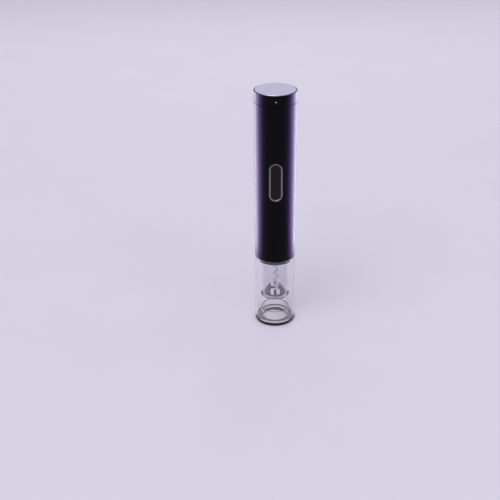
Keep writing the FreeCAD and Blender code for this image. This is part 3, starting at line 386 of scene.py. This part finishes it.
def soft_touch(name):
    """Black rubbery paint: lavender sheen at grazing angles, very fine texture."""
    material, tree, shader = blank(name)
    where = place_of(tree)
    drift = noise(tree, where, 16, detail=5)
    fine = noise(tree, where, 0.28, detail=2)
    link(tree, tint(tree, drift, (0.0022, 0.0020, 0.0028), (0.0040, 0.0036, 0.0050)), shader,
         "Base Color")
    link(tree, span(tree, noise(tree, where, 7, detail=6), 0.31, 0.37), shader, "Roughness")
    shader.inputs["Specular IOR Level"].default_value = 0.055
    link(tree, relief(tree, fine, 0.006, 0.35), shader, "Normal")
    shader.inputs["Sheen Weight"].default_value = 0.14
    shader.inputs["Sheen Roughness"].default_value = 0.28
    shader.inputs["Sheen Tint"].default_value = (0.66, 0.54, 0.95, 1)
    return material


def brushed_disc(name):
    """Silver disc brushed in fine rings, with faint wandering brightness."""
    material, tree, shader = blank(name)
    where = place_of(tree)
    parts = node(tree, "SeparateXYZ", {0: where})
    across = node(tree, "CombineXYZ", {"X": parts.outputs["X"], "Y": parts.outputs["Y"]})
    reach = node(tree, "VectorMath", {0: across.outputs[0]}, operation="LENGTH").outputs["Value"]
    rings = node(tree, "TexNoise", {
        "W": reach, "Scale": 1000 / 0.16, "Detail": 4.0, "Roughness": 0.7,
    }, noise_dimensions="1D").outputs["Fac"]
    cloud = noise(tree, where, 12, detail=5)
    link(tree, tint(tree, cloud, (0.42, 0.42, 0.51), (0.49, 0.49, 0.58)), shader, "Base Color")
    link(tree, span(tree, rings, 0.26, 0.44), shader, "Roughness")
    link(tree, relief(tree, rings, 0.005, 0.5, relief(tree, cloud, 0.02, 0.3)), shader, "Normal")
    shader.inputs["Metallic"].default_value = 1.0
    return material


def solder_mask(name):
    """Green circuit board with a faint weave and copper tracks under the lacquer."""
    material, tree, shader = blank(name)
    where = place_of(tree)
    weave = node(tree, "TexWave", {
        "Vector": where, "Scale": 1000 / 2.2, "Distortion": 1.2, "Detail": 1.0,
    }, bands_direction="DIAGONAL").outputs["Fac"]
    tracks = span(tree, noise(tree, where, 2.4, detail=0, stretch=(1, 1, 3)), 0, 1, 0.53, 0.56)
    base = tint(tree, weave, (0.010, 0.075, 0.030), (0.014, 0.095, 0.040))
    mixed = node(tree, "Mix", {"Factor": tracks, "A": base, "B": (0.022, 0.150, 0.060, 1)},
                 data_type="RGBA").outputs["Result"]
    link(tree, mixed, shader, "Base Color")
    link(tree, relief(tree, tracks, 0.03, 0.6), shader, "Normal")
    link(tree, span(tree, noise(tree, where, 4), 0.22, 0.34), shader, "Roughness")
    return material


WRAP_BAND = 253.5
WRAP_BLUR = 0.2


def cell_finish(name):
    """Plain wrap of a battery cell: a grey band over a blue one, with fine flecks."""
    material, tree, shader = blank(name)
    where = place_of(tree)
    height = node(tree, "SeparateXYZ", {0: where}).outputs["Z"]
    band = span(tree, height, 0.0, 1.0, WRAP_BAND * MM, (WRAP_BAND + WRAP_BLUR) * MM)
    mixed = tint(tree, band, (0.012, 0.040, 0.140), (0.30, 0.30, 0.32))
    fleck = noise(tree, where, 0.5, detail=3)
    shaded = node(tree, "Mix", {
        "Factor": span(tree, fleck, 0.0, 0.22), "A": mixed, "B": (0.02, 0.02, 0.03, 1),
    }, data_type="RGBA").outputs["Result"]
    link(tree, shaded, shader, "Base Color")
    link(tree, span(tree, noise(tree, where, 5, detail=4), 0.20, 0.34), shader, "Roughness")
    link(tree, relief(tree, noise(tree, where, 1.1), 0.006, 0.4), shader, "Normal")
    shader.inputs["Metallic"].default_value = 0.55
    return material


# Each finish is a name, its maker and the maker's settings: for plastics the colour, roughness, grain
# and depth of the texture, then coat and gloss where they matter; for metals the colour, roughness,
# stretch and grain of the lines, then their depth; for clear pieces the colour, roughness and haze.
FINISH_TABLE = (
    ("soft_black", soft_touch),
    ("cap_black", soft_touch),
    ("disc_silver", brushed_disc),
    ("clear_plastic", clear, (0.985, 0.98, 0.995), 0.025, 0.015),
    ("clear_guide", clear, (0.92, 0.915, 0.95), 0.03),
    ("base_rubber", moulded, (0.009, 0.008, 0.013), 0.48, 0.4, 0.01, 0.0, 0.3),
    ("gripper_plastic", moulded, (0.05, 0.03, 0.036), 0.20, 0.8, 0.006, 0.4),
    ("nose_black", moulded, (0.006, 0.006, 0.009), 0.24, 0.6, 0.005, 0.2, 0.35),
    ("window_clear", clear, (0.93, 0.96, 1.0), 0.12),
    ("board_green", solder_mask),
    ("lamp_white", moulded, (0.82, 0.84, 0.86), 0.3, 0.4, 0.004),
    ("screw_steel", metal, (0.58, 0.58, 0.60), 0.3, (1, 1, 1), 0.4),
    ("bezel_chrome", metal, (0.18, 0.175, 0.195), 0.16, (1, 1, 1), 1.2, 0.001),
    ("button_black", moulded, (0.010, 0.005, 0.006), 0.36, 0.35, 0.010, 0.0, 0.16),
    ("switch_black", moulded, (0.020, 0.020, 0.021), 0.42, 0.4, 0.006),
    ("plunger_white", moulded, (0.74, 0.74, 0.70), 0.38, 0.4, 0.006),
    ("chip_black", moulded, (0.018, 0.018, 0.019), 0.55, 0.2, 0.006),
    ("frame_grey", moulded, (0.075, 0.075, 0.082), 0.5, 0.5, 0.012),
    ("thread_nylon", moulded, (0.66, 0.65, 0.58), 0.42, 0.6, 0.008),
    ("washer_brass", metal, (0.72, 0.53, 0.24), 0.28, (1, 1, 1), 0.3),
    ("tube_black", moulded, (0.028, 0.028, 0.031), 0.4, 0.5, 0.008),
    ("carriage_white", moulded, (0.60, 0.59, 0.56), 0.42, 0.5, 0.008),
    ("worm_coating", metal, (0.86, 0.85, 0.92), 0.20, (1, 1, 1), 0.5, 0.002),
    ("pin_steel", metal, (0.60, 0.60, 0.62), 0.22, (8, 1, 1), 0.3),
    ("gear_white", moulded, (0.74, 0.72, 0.64), 0.42, 0.5, 0.008),
    ("gear_steel", metal, (0.42, 0.42, 0.43), 0.42, (1, 1, 1), 0.35, 0.01),
    ("pinion_brass", metal, (0.74, 0.55, 0.25), 0.26, (1, 1, 6), 0.25),
    ("ring_grey", moulded, (0.10, 0.10, 0.108), 0.48, 0.5, 0.010),
    ("plate_steel", metal, (0.60, 0.60, 0.62), 0.34, (6, 1, 1), 0.35),
    ("can_steel", metal, (0.62, 0.62, 0.64), 0.30, (6, 6, 1), 0.4),
    ("magnet_grey", moulded, (0.045, 0.045, 0.050), 0.6, 0.5, 0.02),
    ("rotor_steel", metal, (0.30, 0.30, 0.31), 0.42, (6, 6, 1), 0.3, 0.01),
    ("shaft_steel", metal, (0.64, 0.64, 0.66), 0.2, (1, 1, 1), 0.3),
    ("endcap_black", moulded, (0.020, 0.020, 0.021), 0.5, 0.5, 0.01),
    ("terminal_brass", metal, (0.74, 0.55, 0.28), 0.3, (1, 1, 1), 0.4),
    ("holder_grey", moulded, (0.040, 0.040, 0.044), 0.5, 0.55, 0.014),
    ("cell_wrap", cell_finish),
    ("contact_steel", metal, (0.72, 0.70, 0.66), 0.24, (1, 1, 1), 0.5),
    ("dot_white", moulded, (0.36, 0.355, 0.39), 0.3, 0.3, 0.003),
    ("plug_black", moulded, (0.022, 0.022, 0.024), 0.45, 0.5, 0.01),
    ("wire_cover", moulded, (0.22, 0.016, 0.014), 0.45, 0.6, 0.008),
)
FINISHES = {name: maker(name, *settings) for name, maker, *settings in FINISH_TABLE}
SLOT_OF = {part["node"]: part["material_slot"] for part in frame["record"]["subparts"]}


def paint(item, slot):
    """Give an object one finish."""
    item.data.materials.clear()
    item.data.materials.append(FINISHES[slot])


for name, item in frame["nodes"].items():
    paint(item, SLOT_OF[name])


def dress(item, body, node_name):
    """Finish, body, slot and replaced CAD node of a new piece."""
    paint(item, SLOT_OF[node_name])
    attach(item, body)
    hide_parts(node_name)


# ---------------------------------------------------------------- body and cap

FOOT_RADIUS = 23.6
BORE_RADIUS = 21.9
SHELF_RADIUS = 19.6
SHELF_BOTTOM = 208.1
SHELF_TOP = 210
WINDOW_HALF = 7.65
WINDOW_DEPTHS = (12, 26)
KEYWAY_LOW = (-1.65, -22.75, 267.4)
KEYWAY_HIGH = (1.65, -18.75, 287.4)
POST_X = 16.3
POST_Y = 3.2
POST_BORE = 1
POST_ENDS = (207, 211)
BUTTON_STRAIGHT = 15.25


def track_spots(half, arc_steps=28, run_steps=20):
    """Points (x, z) round the button's upright slot shape of that half width."""
    spots = []
    for side in (1, -1):
        for step in range(arc_steps + 1):
            angle = math.pi * step / arc_steps + (0 if side > 0 else math.pi)
            spots.append((math.cos(angle) * half, math.sin(angle) * half + side * BUTTON_STRAIGHT))
        for step in range(1, run_steps):
            spots.append((-side * half, side * BUTTON_STRAIGHT * (1 - 2 * step / run_steps)))
    return spots


def track_cutter(half, depths):
    """Upright slot-shaped block to cut with, between two depths in front of the axis."""
    bm = bmesh.new()
    rings = []
    for depth in depths:
        rings.append([bm.verts.new((x * MM, -depth * MM, (z + BUTTON_HEIGHT) * MM))
                      for x, z in track_spots(half)])
    bridge(bm, rings)
    close_ends(bm, rings)
    return finish_mesh("track_cutter", bm)


shell = lathe("shell", [
    (BORE_RADIUS, BODY_BOTTOM, 0.15), (FOOT_RADIUS, BODY_BOTTOM, 0.35),
    (BODY_RADIUS, BODY_TOP, 0.35), (BORE_RADIUS, BODY_TOP, 0.15),
    (BORE_RADIUS, SHELF_TOP, 0), (SHELF_RADIUS, SHELF_TOP, 0.15),
    (SHELF_RADIUS, SHELF_BOTTOM, 0.15), (BORE_RADIUS, SHELF_BOTTOM, 0)], BODY_STEPS, longest=12)
holes = [track_cutter(WINDOW_HALF, WINDOW_DEPTHS), box_cutter(KEYWAY_LOW, KEYWAY_HIGH)]
for side in (-1, 1):
    start, stop = [(side * POST_X, POST_Y, level) for level in POST_ENDS]
    holes.append(bar_cutter(POST_BORE, start, stop))
combine(shell, holes)
dress(shell, "housing", "body_shell")

RIM_RADIUS = 23.45
CAP_CEILING = 284.6
DOT_RADIUS = 0.85
DOT_GAP = 0.02
DOT_SEAT = 23.4

cap = lathe("cap", [
    (0, DISC_BOTTOM, 0), (RIM_RADIUS, DISC_BOTTOM, 0), (RIM_RADIUS, CAP_TOP, 0.08),
    (BODY_RADIUS, CAP_TOP, 0.4), (BODY_RADIUS, CAP_BOTTOM, 0.3), (BORE_RADIUS, CAP_BOTTOM, 0.15),
    (BORE_RADIUS, CAP_CEILING, 0.3), (0, CAP_CEILING, 0)], BODY_STEPS, longest=4, closed=False)
combine(cap, [bar_cutter(DOT_RADIUS + DOT_GAP, (0, -BODY_RADIUS - 2, DOT_HEIGHT),
                         (0, -DOT_SEAT, DOT_HEIGHT))])
dress(cap, "cap", "battery_cap")

# The dot is a small enamel bead in a blind hole, just below the surface of the cap.
DOT_EDGE = 0.42
DOT_CROWN = 0.58
DOT_PLACE = Vector((0, -DOT_SEAT - 0.01, DOT_HEIGHT)) * MM
dot = lathe("dot", [
    (0, 0, 0), (DOT_RADIUS, 0, 0.05), (DOT_RADIUS, DOT_EDGE, 0.16), (0, DOT_CROWN, 0)],
    SMALL_STEPS, longest=0.2, closed=False)
dot.data.transform(Matrix.Translation(DOT_PLACE)
                   @ Euler((math.radians(90), 0, 0)).to_matrix().to_4x4())
dress(dot, "cap", "cap_dot")

# A fine turned line runs round the disc's face, inside its bevel.
DISC_SHOULDER = 0.55
DISC_BEVEL = 0.48
LINE_RADIUS = 22.05
LINE_HALF = 0.15
LINE_DEPTH = 0.07
disc = lathe("disc", [
    (0, DISC_BOTTOM, 0), (DISC_RADIUS, DISC_BOTTOM, 0.05),
    (DISC_RADIUS, DISC_TOP - DISC_SHOULDER, 0.12), (DISC_RADIUS - DISC_BEVEL, DISC_TOP, 0.16),
    (LINE_RADIUS + LINE_HALF, DISC_TOP, 0.05), (LINE_RADIUS, DISC_TOP - LINE_DEPTH, 0.05),
    (LINE_RADIUS - LINE_HALF, DISC_TOP, 0.05), (0, DISC_TOP, 0)], BODY_STEPS, longest=3,
    closed=False)
dress(disc, "cap", "top_disc")


# ---------------------------------------------------------------- button

PIVOT_DEPTH = 21.7
PIVOT_BORE = 1


def on_shell(x, radius):
    """Depth of a point x to the side on the front of an upright cylinder."""
    return -math.sqrt(radius * radius - x * x)


def swept_ring(name, section):
    """Closed (half width, radius, rounding) section carried round the button's slot shape."""
    bm = bmesh.new()
    rows = []
    for half, radius in softened(section, True):
        rows.append([bm.verts.new((x * MM, on_shell(x, radius) * MM, (z + BUTTON_HEIGHT) * MM))
                     for x, z in track_spots(half)])
    bridge(bm, rows, True)
    return finish_mesh(name, bm)


# The bezel has a thin flange behind the shell and a rounded crest level with the shell's face.
OPENING_HALF = 5.7
BEZEL_HALF = 7.6
FLANGE_HALF = 8.9
FLANGE_BACK = 20.95
FLANGE_FRONT = 21.85
BEZEL_CREST = 23.99
bezel = swept_ring("bezel", [
    (OPENING_HALF, FLANGE_BACK, 0.1), (FLANGE_HALF, FLANGE_BACK, 0.1),
    (FLANGE_HALF, FLANGE_FRONT, 0.1), (BEZEL_HALF, FLANGE_FRONT, 0.1), (BEZEL_HALF, 23.72, 0.2),
    (6.95, BEZEL_CREST, 0.4), (6.25, BEZEL_CREST, 0.35), (OPENING_HALF, 23.6, 0.15)])
combine(bezel, [bar_cutter(PIVOT_BORE, (-7, -PIVOT_DEPTH, BUTTON_HEIGHT),
                           (7, -PIVOT_DEPTH, BUTTON_HEIGHT))])
dress(bezel, "housing", "button_bezel")

ROCKER_HALF = 5.45
ROCKER_FACE = 23.85
ROCKER_BACK = 20.9
ROCKER_SKIRT = 1.2
ROCKER_EDGE = 0.35
EDGE_STEPS = 6
FACE_HALF = 4.8
FACE_STEPS = 8
DISH_RADIUS = 60
DISH_DEPTH = 0.5
DISH_BLEND = 0.04
PIVOT_RADIUS = 0.9
PIVOT_REACH = 6.8
NUB_RADIUS = 1.2
NUB_OFFSET = 10
NUB_DEPTHS = (21.4, 20.2)
BAR_RIM = 0.15
BAR_STEPS = 32


def rocker_front(x, z):
    """Depth of the dished front of the rocker at a point of its slot shape."""
    round_face = on_shell(x, ROCKER_FACE)
    hollow = math.sqrt(DISH_RADIUS ** 2 - z * z) - DISH_RADIUS - ROCKER_FACE + DISH_DEPTH
    gap = (round_face - hollow) / DISH_BLEND
    return hollow + DISH_BLEND * math.log1p(math.exp(gap)) if gap < 30 else round_face


def make_rocker():
    """Dished slot-shaped key with rounded edges, its two pivots and two press nubs."""
    back_rows = [(0.0, 0), (ROCKER_HALF - 0.25, 0), (ROCKER_HALF, 0.2), (ROCKER_HALF, ROCKER_SKIRT)]
    front_rows = []
    for step in range(EDGE_STEPS + 1):
        angle = math.radians(90) * step / EDGE_STEPS
        front_rows.append((ROCKER_HALF - ROCKER_EDGE * (1 - math.cos(angle)),
                           ROCKER_EDGE * (1 - math.sin(angle))))
    for step in range(FACE_STEPS + 1):
        front_rows.append((FACE_HALF * (1 - step / FACE_STEPS), 0))
    bm = bmesh.new()
    rings = []
    for rows, is_back in ((back_rows, True), (front_rows, False)):
        for half, sink in rows:
            ring = []
            for x, z in track_spots(half, run_steps=48):
                depth = -ROCKER_BACK - sink if is_back else rocker_front(x, z) + sink
                ring.append(bm.verts.new((x * MM, depth * MM, (z + BUTTON_HEIGHT) * MM)))
            rings.append(ring)
    bridge(bm, rings)
    bmesh.ops.remove_doubles(bm, verts=bm.verts, dist=1e-7)
    add_bar(bm, PIVOT_RADIUS, (-PIVOT_REACH, -PIVOT_DEPTH, BUTTON_HEIGHT),
            (PIVOT_REACH, -PIVOT_DEPTH, BUTTON_HEIGHT), BAR_STEPS, BAR_RIM)
    for side in (1, -1):
        level = BUTTON_HEIGHT + side * NUB_OFFSET
        add_bar(bm, NUB_RADIUS, (0, -NUB_DEPTHS[0], level), (0, -NUB_DEPTHS[1], level), BAR_STEPS,
                BAR_RIM)
    return finish_mesh("rocker", bm)


dress(make_rocker(), "rocker", "rocker_button")


# ---------------------------------------------------------------- clear sleeve and cork chamber

# Room left between pieces that meet face to face.
SEAM = 0.05
NECK_BORE = 15.25
NECK_RADIUS = 16.8
NECK_TOP = 16.2
WEB_TOP = 5.6
SLEEVE_BORE = 21.7
SPIGOT_RADIUS = 21.8
SPIGOT_BORE = 20.2
SPIGOT_FOOT = 85
SPIGOT_SLOPE = 83
SCREW_HEIGHT = 89.25
SCREW_ANGLES = (30, 150, 270)
# The bore of a screw's hole and of the seat of its head, each with its two ends out from the axis.
SCREW_CUTS = ((1, 19, 21.2), (1.9, 20.9, 24))

SHOULDER = BODY_BOTTOM - SEAM
sleeve = lathe("sleeve", [
    (NECK_BORE, SLEEVE_BOTTOM, 0.3), (NECK_RADIUS, SLEEVE_BOTTOM, 0.1),
    (NECK_RADIUS, FOOT_TOP, 0.2), (SLEEVE_RADIUS, FOOT_TOP, 0.9),
    (SLEEVE_RADIUS, SHOULDER, 0.25), (SPIGOT_RADIUS, SHOULDER, 0.1),
    (SPIGOT_RADIUS, SLEEVE_TOP, 0.3), (SPIGOT_BORE, SLEEVE_TOP, 0.3),
    (SPIGOT_BORE, SPIGOT_FOOT, 1.5), (SLEEVE_BORE, SPIGOT_SLOPE, 1.5), (SLEEVE_BORE, WEB_TOP, 1.2),
    (NECK_RADIUS, WEB_TOP, 0.8), (NECK_RADIUS, NECK_TOP, 0.75), (NECK_BORE, NECK_TOP, 0.75)],
    CLEAR_STEPS, longest=14)
screw_cutters = []
for degrees in SCREW_ANGLES:
    out = Vector((math.cos(math.radians(degrees)), math.sin(math.radians(degrees)), 0))
    lift = Vector((0, 0, SCREW_HEIGHT))
    for bore, near, far in SCREW_CUTS:
        screw_cutters.append(bar_cutter(bore, out * near + lift, out * far + lift))
combine(sleeve, screw_cutters)
dress(sleeve, "housing", "clear_sleeve")

LIP_TOP = 35.2
LIP_BORE = 12.4
GUIDE_RADIUS = 14.7
GUIDE_BORE = 13.3
GRIPPER_SEAT = 34.8
LIP_SLOPE = 2

GUIDE_END = GUIDE_TOP - SEAM
guide = lathe("guide", [
    (LIP_BORE, LIP_BOTTOM, 0.2), (LIP_RADIUS, LIP_BOTTOM, 0.5), (LIP_RADIUS, LIP_TOP, 0.4),
    (GUIDE_RADIUS, LIP_TOP + LIP_SLOPE, 1.2), (GUIDE_RADIUS, GUIDE_END, 0.1),
    (GUIDE_BORE, GUIDE_END, 0.1), (GUIDE_BORE, GRIPPER_SEAT, 0.1), (LIP_BORE, GRIPPER_SEAT, 0.1)],
    CLEAR_STEPS, longest=10)
dress(guide, "housing", "guide_tube")

# Light falls through the clear walls on what they hold.
for item in (sleeve, guide):
    item.visible_shadow = False

foot = lathe("foot", [
    (NECK_RADIUS + SEAM, FOOT_BOTTOM, 0.25), (SLEEVE_RADIUS, FOOT_BOTTOM, 2.9),
    (SLEEVE_RADIUS, FOOT_TOP - SEAM, 0.2), (NECK_RADIUS + SEAM, FOOT_TOP - SEAM, 0.2)],
    CLEAR_STEPS, longest=1.5)
dress(foot, "housing", "base_ring")

PRONGS = 8
PRONG_STEPS = 20
GRIPPER_BORE = 9
GRIPPER_FLOOR = 36.2
GRIPPER_STEPS = 128
# A prong is an upright loft of rounded rows: (level, inner radius, outer radius, half width).
PRONG_ROWS = (
    (35.9, 9.15, 10.25, 1.75), (38, 9.15, 10.25, 1.7), (40.9, 9.12, 10.22, 1.6),
    (41.3, 8.75, 10.2, 1.5), (41.9, 8.42, 10.15, 1.4), (42.6, 8.5, 10.0, 1.3),
    (43.3, 8.8, 9.85, 1.15), (43.8, 9.0, 9.7, 0.95), (GRIPPER_TOP, 9.15, 9.5, 0.7))


def prong_row(bm, turn, height, inner, outer, half):
    """Ring of vertices round one level of a prong that stands at that turn about the axis."""
    middle = (inner + outer) / 2
    thick = (outer - inner) / 2
    ring = []
    for step in range(PRONG_STEPS):
        angle = TURN * step / PRONG_STEPS
        square = 1 / max(abs(math.cos(angle)), abs(math.sin(angle))) ** 0.6
        reach = middle + thick * math.cos(angle) * square
        swing = turn + half * math.sin(angle) * square / reach
        ring.append(bm.verts.new((reach * math.cos(swing) * MM, reach * math.sin(swing) * MM,
                                  height * MM)))
    return ring


def make_gripper():
    """Flat ring with curved upright prongs whose tips lean in over small teeth."""
    low = GRIPPER_BOTTOM + SEAM
    outer = GRIPPER_RADIUS - SEAM
    section = softened([(GRIPPER_BORE, low, 0.2), (outer, low, 0.15), (outer, GRIPPER_FLOOR, 0.25),
                        (GRIPPER_BORE, GRIPPER_FLOOR, 0.2)], True)
    bm = bmesh.new()
    bridge(bm, [circle(bm, radius, height, GRIPPER_STEPS) for radius, height in section], True)
    for number in range(PRONGS):
        rings = [prong_row(bm, TURN * number / PRONGS, *row) for row in PRONG_ROWS]
        bridge(bm, rings)
        close_ends(bm, rings)
    return finish_mesh("gripper", bm, 40)


dress(make_gripper(), "housing", "cork_gripper")


# ---------------------------------------------------------------- worm

LEAD = 9
COIL = 2.85
WIRE = 1.35
WIRE_SIDES = 20
STEPS_PER_TURN = 40
# The spiral's first and last angle, and the level of its angle 0.
SPIRAL_START = -1.12
SPIRAL_END = TURN * 9.95
SPIRAL_HEIGHT = 39.5
POINT_LENGTH = 7.5
LENGTH_PER_ANGLE = 3.19
SHANK_ENTRY = 126.5
SHANK_BLEND = 2.6
WORM_SHARP = 50


def make_spiral():
    """Spiral drawn to a point below and bending in to the axis above."""
    bm = bmesh.new()
    count = int((SPIRAL_END - SPIRAL_START) / TURN * STEPS_PER_TURN)
    rings = []
    for index in range(count + 1):
        angle = SPIRAL_START + (SPIRAL_END - SPIRAL_START) * index / count
        height = SPIRAL_HEIGHT + LEAD * angle / TURN
        ease = min(1.0, max(0.0, (height - SHANK_ENTRY) / SHANK_BLEND))
        coil = COIL * (1 - ease * ease * (3 - 2 * ease))
        along = (angle - SPIRAL_START) * LENGTH_PER_ANGLE
        wire = WIRE
        if along < POINT_LENGTH:
            wire *= min(1.0, 0.06 + 0.94 * (along / POINT_LENGTH) ** 0.62)
        out = Vector((math.cos(angle), math.sin(angle), 0))
        side = Vector((-math.sin(angle), math.cos(angle), 0))
        forward = (side * max(coil, 0.6) + Vector((0, 0, LEAD / TURN))).normalized()
        cross = forward.cross(out).normalized()
        middle = out * coil + Vector((0, 0, height))
        ring = []
        for step in range(WIRE_SIDES):
            swing = TURN * step / WIRE_SIDES
            spoke = (out * math.cos(swing) + cross * math.sin(swing)) * wire
            ring.append(bm.verts.new((middle + spoke) * MM))
        rings.append(ring)
    bridge(bm, rings)
    close_ends(bm, rings)
    return finish_mesh("worm_spiral", bm, WORM_SHARP)


SHANK_RADIUS = 3.2
SHANK_TOP = 138
TANG_RADIUS = 2.2

spiral = make_spiral()
shank = lathe("worm_shank", [
    (0, 127.2, 0), (2.1, 127.4, 0.6), (SHANK_RADIUS, 129.2, 0.8), (SHANK_RADIUS, SHANK_TOP, 0.15),
    (TANG_RADIUS, SHANK_TOP, 0.1), (TANG_RADIUS, TANG_TOP, 0.3), (0, TANG_TOP, 0)], SMALL_STEPS,
    longest=1, closed=False)
combine(spiral, [shank], "UNION", WORM_SHARP)
dress(spiral, "worm_carriage", "worm")


# ---------------------------------------------------------------- cells

CELL_OFFSET = 7.7
CELL_RADIUS = 7.1
NUB_RADII = (2.9, 2.7)
CELL_LENGTH = CELL_TOP - CELL_BOTTOM
# A cell's outline from its flat end to its nub, as (radius, distance from the flat end, rounding).
CELL_OUTLINE = (
    (0, 0, 0), (5.2, 0, 0.1), (5.4, 0.15, 0.1), (6.6, 0.15, 0.2), (CELL_RADIUS, 0.6, 0.35),
    (CELL_RADIUS, 48.3, 0.3), (6.75, 48.75, 0.25), (5.3, 48.75, 0.1), (4.9, 49.1, 0.2),
    (NUB_RADII[0], 49.15, 0.2), (NUB_RADII[1], CELL_LENGTH, 0.35), (0, CELL_LENGTH, 0))
# Each cell's node, its side across and front to back, and whether its nub is up.
CELLS = (("cell_front_left", -1, -1, True), ("cell_front_right", 1, -1, False),
         ("cell_rear_right", 1, 1, True), ("cell_rear_left", -1, 1, False))

for name, side_x, side_y, nub_up in CELLS:
    outline = [(reach, CELL_BOTTOM + height if nub_up else CELL_TOP - height, size)
               for reach, height, size in CELL_OUTLINE]
    cell = lathe(name + "_can", outline, CELL_STEPS, longest=4, closed=False,
                 centre=(side_x * CELL_OFFSET, side_y * CELL_OFFSET))
    dress(cell, "housing", name)


# ---------------------------------------------------------------- floor

FLOOR_STEPS = 96
FLOOR_DROP = 0.1
FLOOR_RINGS = (300, 800, 2000, 5000)
SWEEP_START = 6000
SWEEP_RADIUS = 3000
SWEEP_STEPS = 12
WALL_HEIGHT = 4500


def floor_finish():
    """Pale matt floor with faint wide clouds."""
    material, tree, shader = blank("floor_finish")
    cloud = noise(tree, place_of(tree), 160, detail=4)
    link(tree, tint(tree, cloud, (0.70, 0.68, 0.76), (0.74, 0.72, 0.80)), shader, "Base Color")
    shader.inputs["Roughness"].default_value = 0.65
    shader.inputs["Specular IOR Level"].default_value = 0.25
    return material


def make_floor():
    """Round floor about the object whose rim sweeps up into a plain wall."""
    profile = [(radius, 0) for radius in FLOOR_RINGS]
    for step in range(SWEEP_STEPS + 1):
        angle = math.radians(90) * step / SWEEP_STEPS
        profile.append((SWEEP_START + SWEEP_RADIUS * math.sin(angle),
                        SWEEP_RADIUS * (1 - math.cos(angle))))
    profile.append((SWEEP_START + SWEEP_RADIUS, WALL_HEIGHT))
    bm = bmesh.new()
    rings = [circle(bm, radius, height - FLOOR_DROP, FLOOR_STEPS) for radius, height in profile]
    bridge(bm, rings)
    bm.faces.new(rings[0])
    item = finish_mesh("floor", bm)
    item.data.materials.append(floor_finish())
    return item


# ---------------------------------------------------------------- lights and camera
# Lengths of lights are in metres.

def softbox(name, spot, aim, width, height, power, colour):
    """Rectangular lamp at a spot, turned to its aim, that only lights and mirrors."""
    light = bpy.data.lights.new(name, "AREA")
    light.shape = "RECTANGLE"
    light.size = width
    light.size_y = height
    light.energy = power
    light.color = colour
    item = bpy.data.objects.new(name, light)
    item.location = spot
    item.rotation_euler = (Vector(aim) - Vector(spot)).to_track_quat("-Z", "Y").to_euler()
    item.visible_camera = False
    item.visible_transmission = False
    bpy.context.collection.objects.link(item)
    return item


def sparing(name, items):
    """Light linking collection of pieces that a lamp does not reach."""
    group = bpy.data.collections.new(name)
    for item in items:
        group.objects.link(item)
    for member in group.collection_objects:
        member.light_linking.link_state = "EXCLUDE"
    return group


def make_overcast():
    """Wide soft light from above, like a bright sky."""
    light = bpy.data.lights.new("overcast", "SUN")
    light.energy = 1.0
    light.angle = math.radians(50)
    light.color = (1.0, 0.985, 1.0)
    item = bpy.data.objects.new("overcast", light)
    item.rotation_euler = (math.radians(28), math.radians(-18), 0)
    item.visible_transmission = False
    bpy.context.collection.objects.link(item)


def make_world():
    """Even pale surroundings."""
    world = bpy.data.worlds.new("world")
    world.use_nodes = True
    backdrop = world.node_tree.nodes["Background"]
    backdrop.inputs["Color"].default_value = (0.82, 0.81, 0.88, 1)
    backdrop.inputs["Strength"].default_value = 0.62
    bpy.context.scene.world = world


floor = make_floor()
# Each lamp is its name, spot, aim, width, height, power in watts and colour.
for lamp in (
        ("key", (-0.7, -1.1, 1.7), (0, 0, 0.1), 1.0, 1.0, 5, (1.0, 0.98, 1.0)),
        ("fill", (0.9, -0.9, 1.5), (0, 0, 0.1), 1.0, 0.8, 3, (0.97, 0.96, 1.0)),
        ("back", (0, 1.5, 0.95), (0, 0, 0.2), 2.0, 0.9, 3.8, (0.93, 0.91, 1.0))):
    softbox(*lamp)

# Upright strips beside the object give its dark body a pale outer edge and a violet band within it.
# They spare the floor, which stays even, and the clear pieces; the worm stays silver without the
# violet pair. A kind is its name, azimuth in degrees from the front, width, power in watts, colour
# and spared pieces.
STRIP_REACH = 0.18
STRIP_HEIGHT = 0.28
STRIP_LEVEL = 0.12
STRIP_AIM = (0, 0, 0.11)
STRIP_KINDS = (
    ("pale", 123, 0.14, 1.9, (0.78, 0.70, 1.0), sparing("spared_by_pale", (floor, sleeve, guide))),
    ("violet", 93, 0.09, 1.25, (0.46, 0.25, 1.0),
     sparing("spared_by_violet", (floor, sleeve, guide, spiral))))
for side_name, side in (("left", -1), ("right", 1)):
    for kind, azimuth, width, power, colour, spared in STRIP_KINDS:
        turn = math.radians(azimuth)
        spot = (side * STRIP_REACH * math.sin(turn), -STRIP_REACH * math.cos(turn), STRIP_LEVEL)
        strip = softbox(side_name + "_" + kind, spot, STRIP_AIM, width, STRIP_HEIGHT, power, colour)
        strip.light_linking.receiver_collection = spared
        strip.visible_diffuse = False

make_overcast()
make_world()
bpy.context.scene.cycles.caustics_reflective = False
bpy.context.scene.view_settings.view_transform = "Standard"

CAMERA_SPOT = Vector((-28.51, -960.74, 585.95)) * MM
YAW = math.radians(-0.0669)
PITCH = math.radians(27.223)
ROLL = math.radians(-0.6448)


def make_camera():
    """Camera in front of the object, looking down on it."""
    forward = Vector((math.sin(YAW) * math.cos(PITCH), math.cos(YAW) * math.cos(PITCH),
                      -math.sin(PITCH)))
    level = forward.cross(Vector((0, 0, 1))).normalized()
    upright = level.cross(forward)
    right = level * math.cos(ROLL) + upright * math.sin(ROLL)
    above = upright * math.cos(ROLL) - level * math.sin(ROLL)
    data = bpy.data.cameras.new("camera")
    data.lens = 65.67
    data.sensor_width = 36
    data.clip_start = 0.01
    camera = bpy.data.objects.new("camera", data)
    camera.matrix_world = Matrix.Translation(CAMERA_SPOT) @ Matrix(
        (right, above, -forward)).transposed().to_4x4()
    bpy.context.collection.objects.link(camera)
    bpy.context.scene.camera = camera


make_camera()
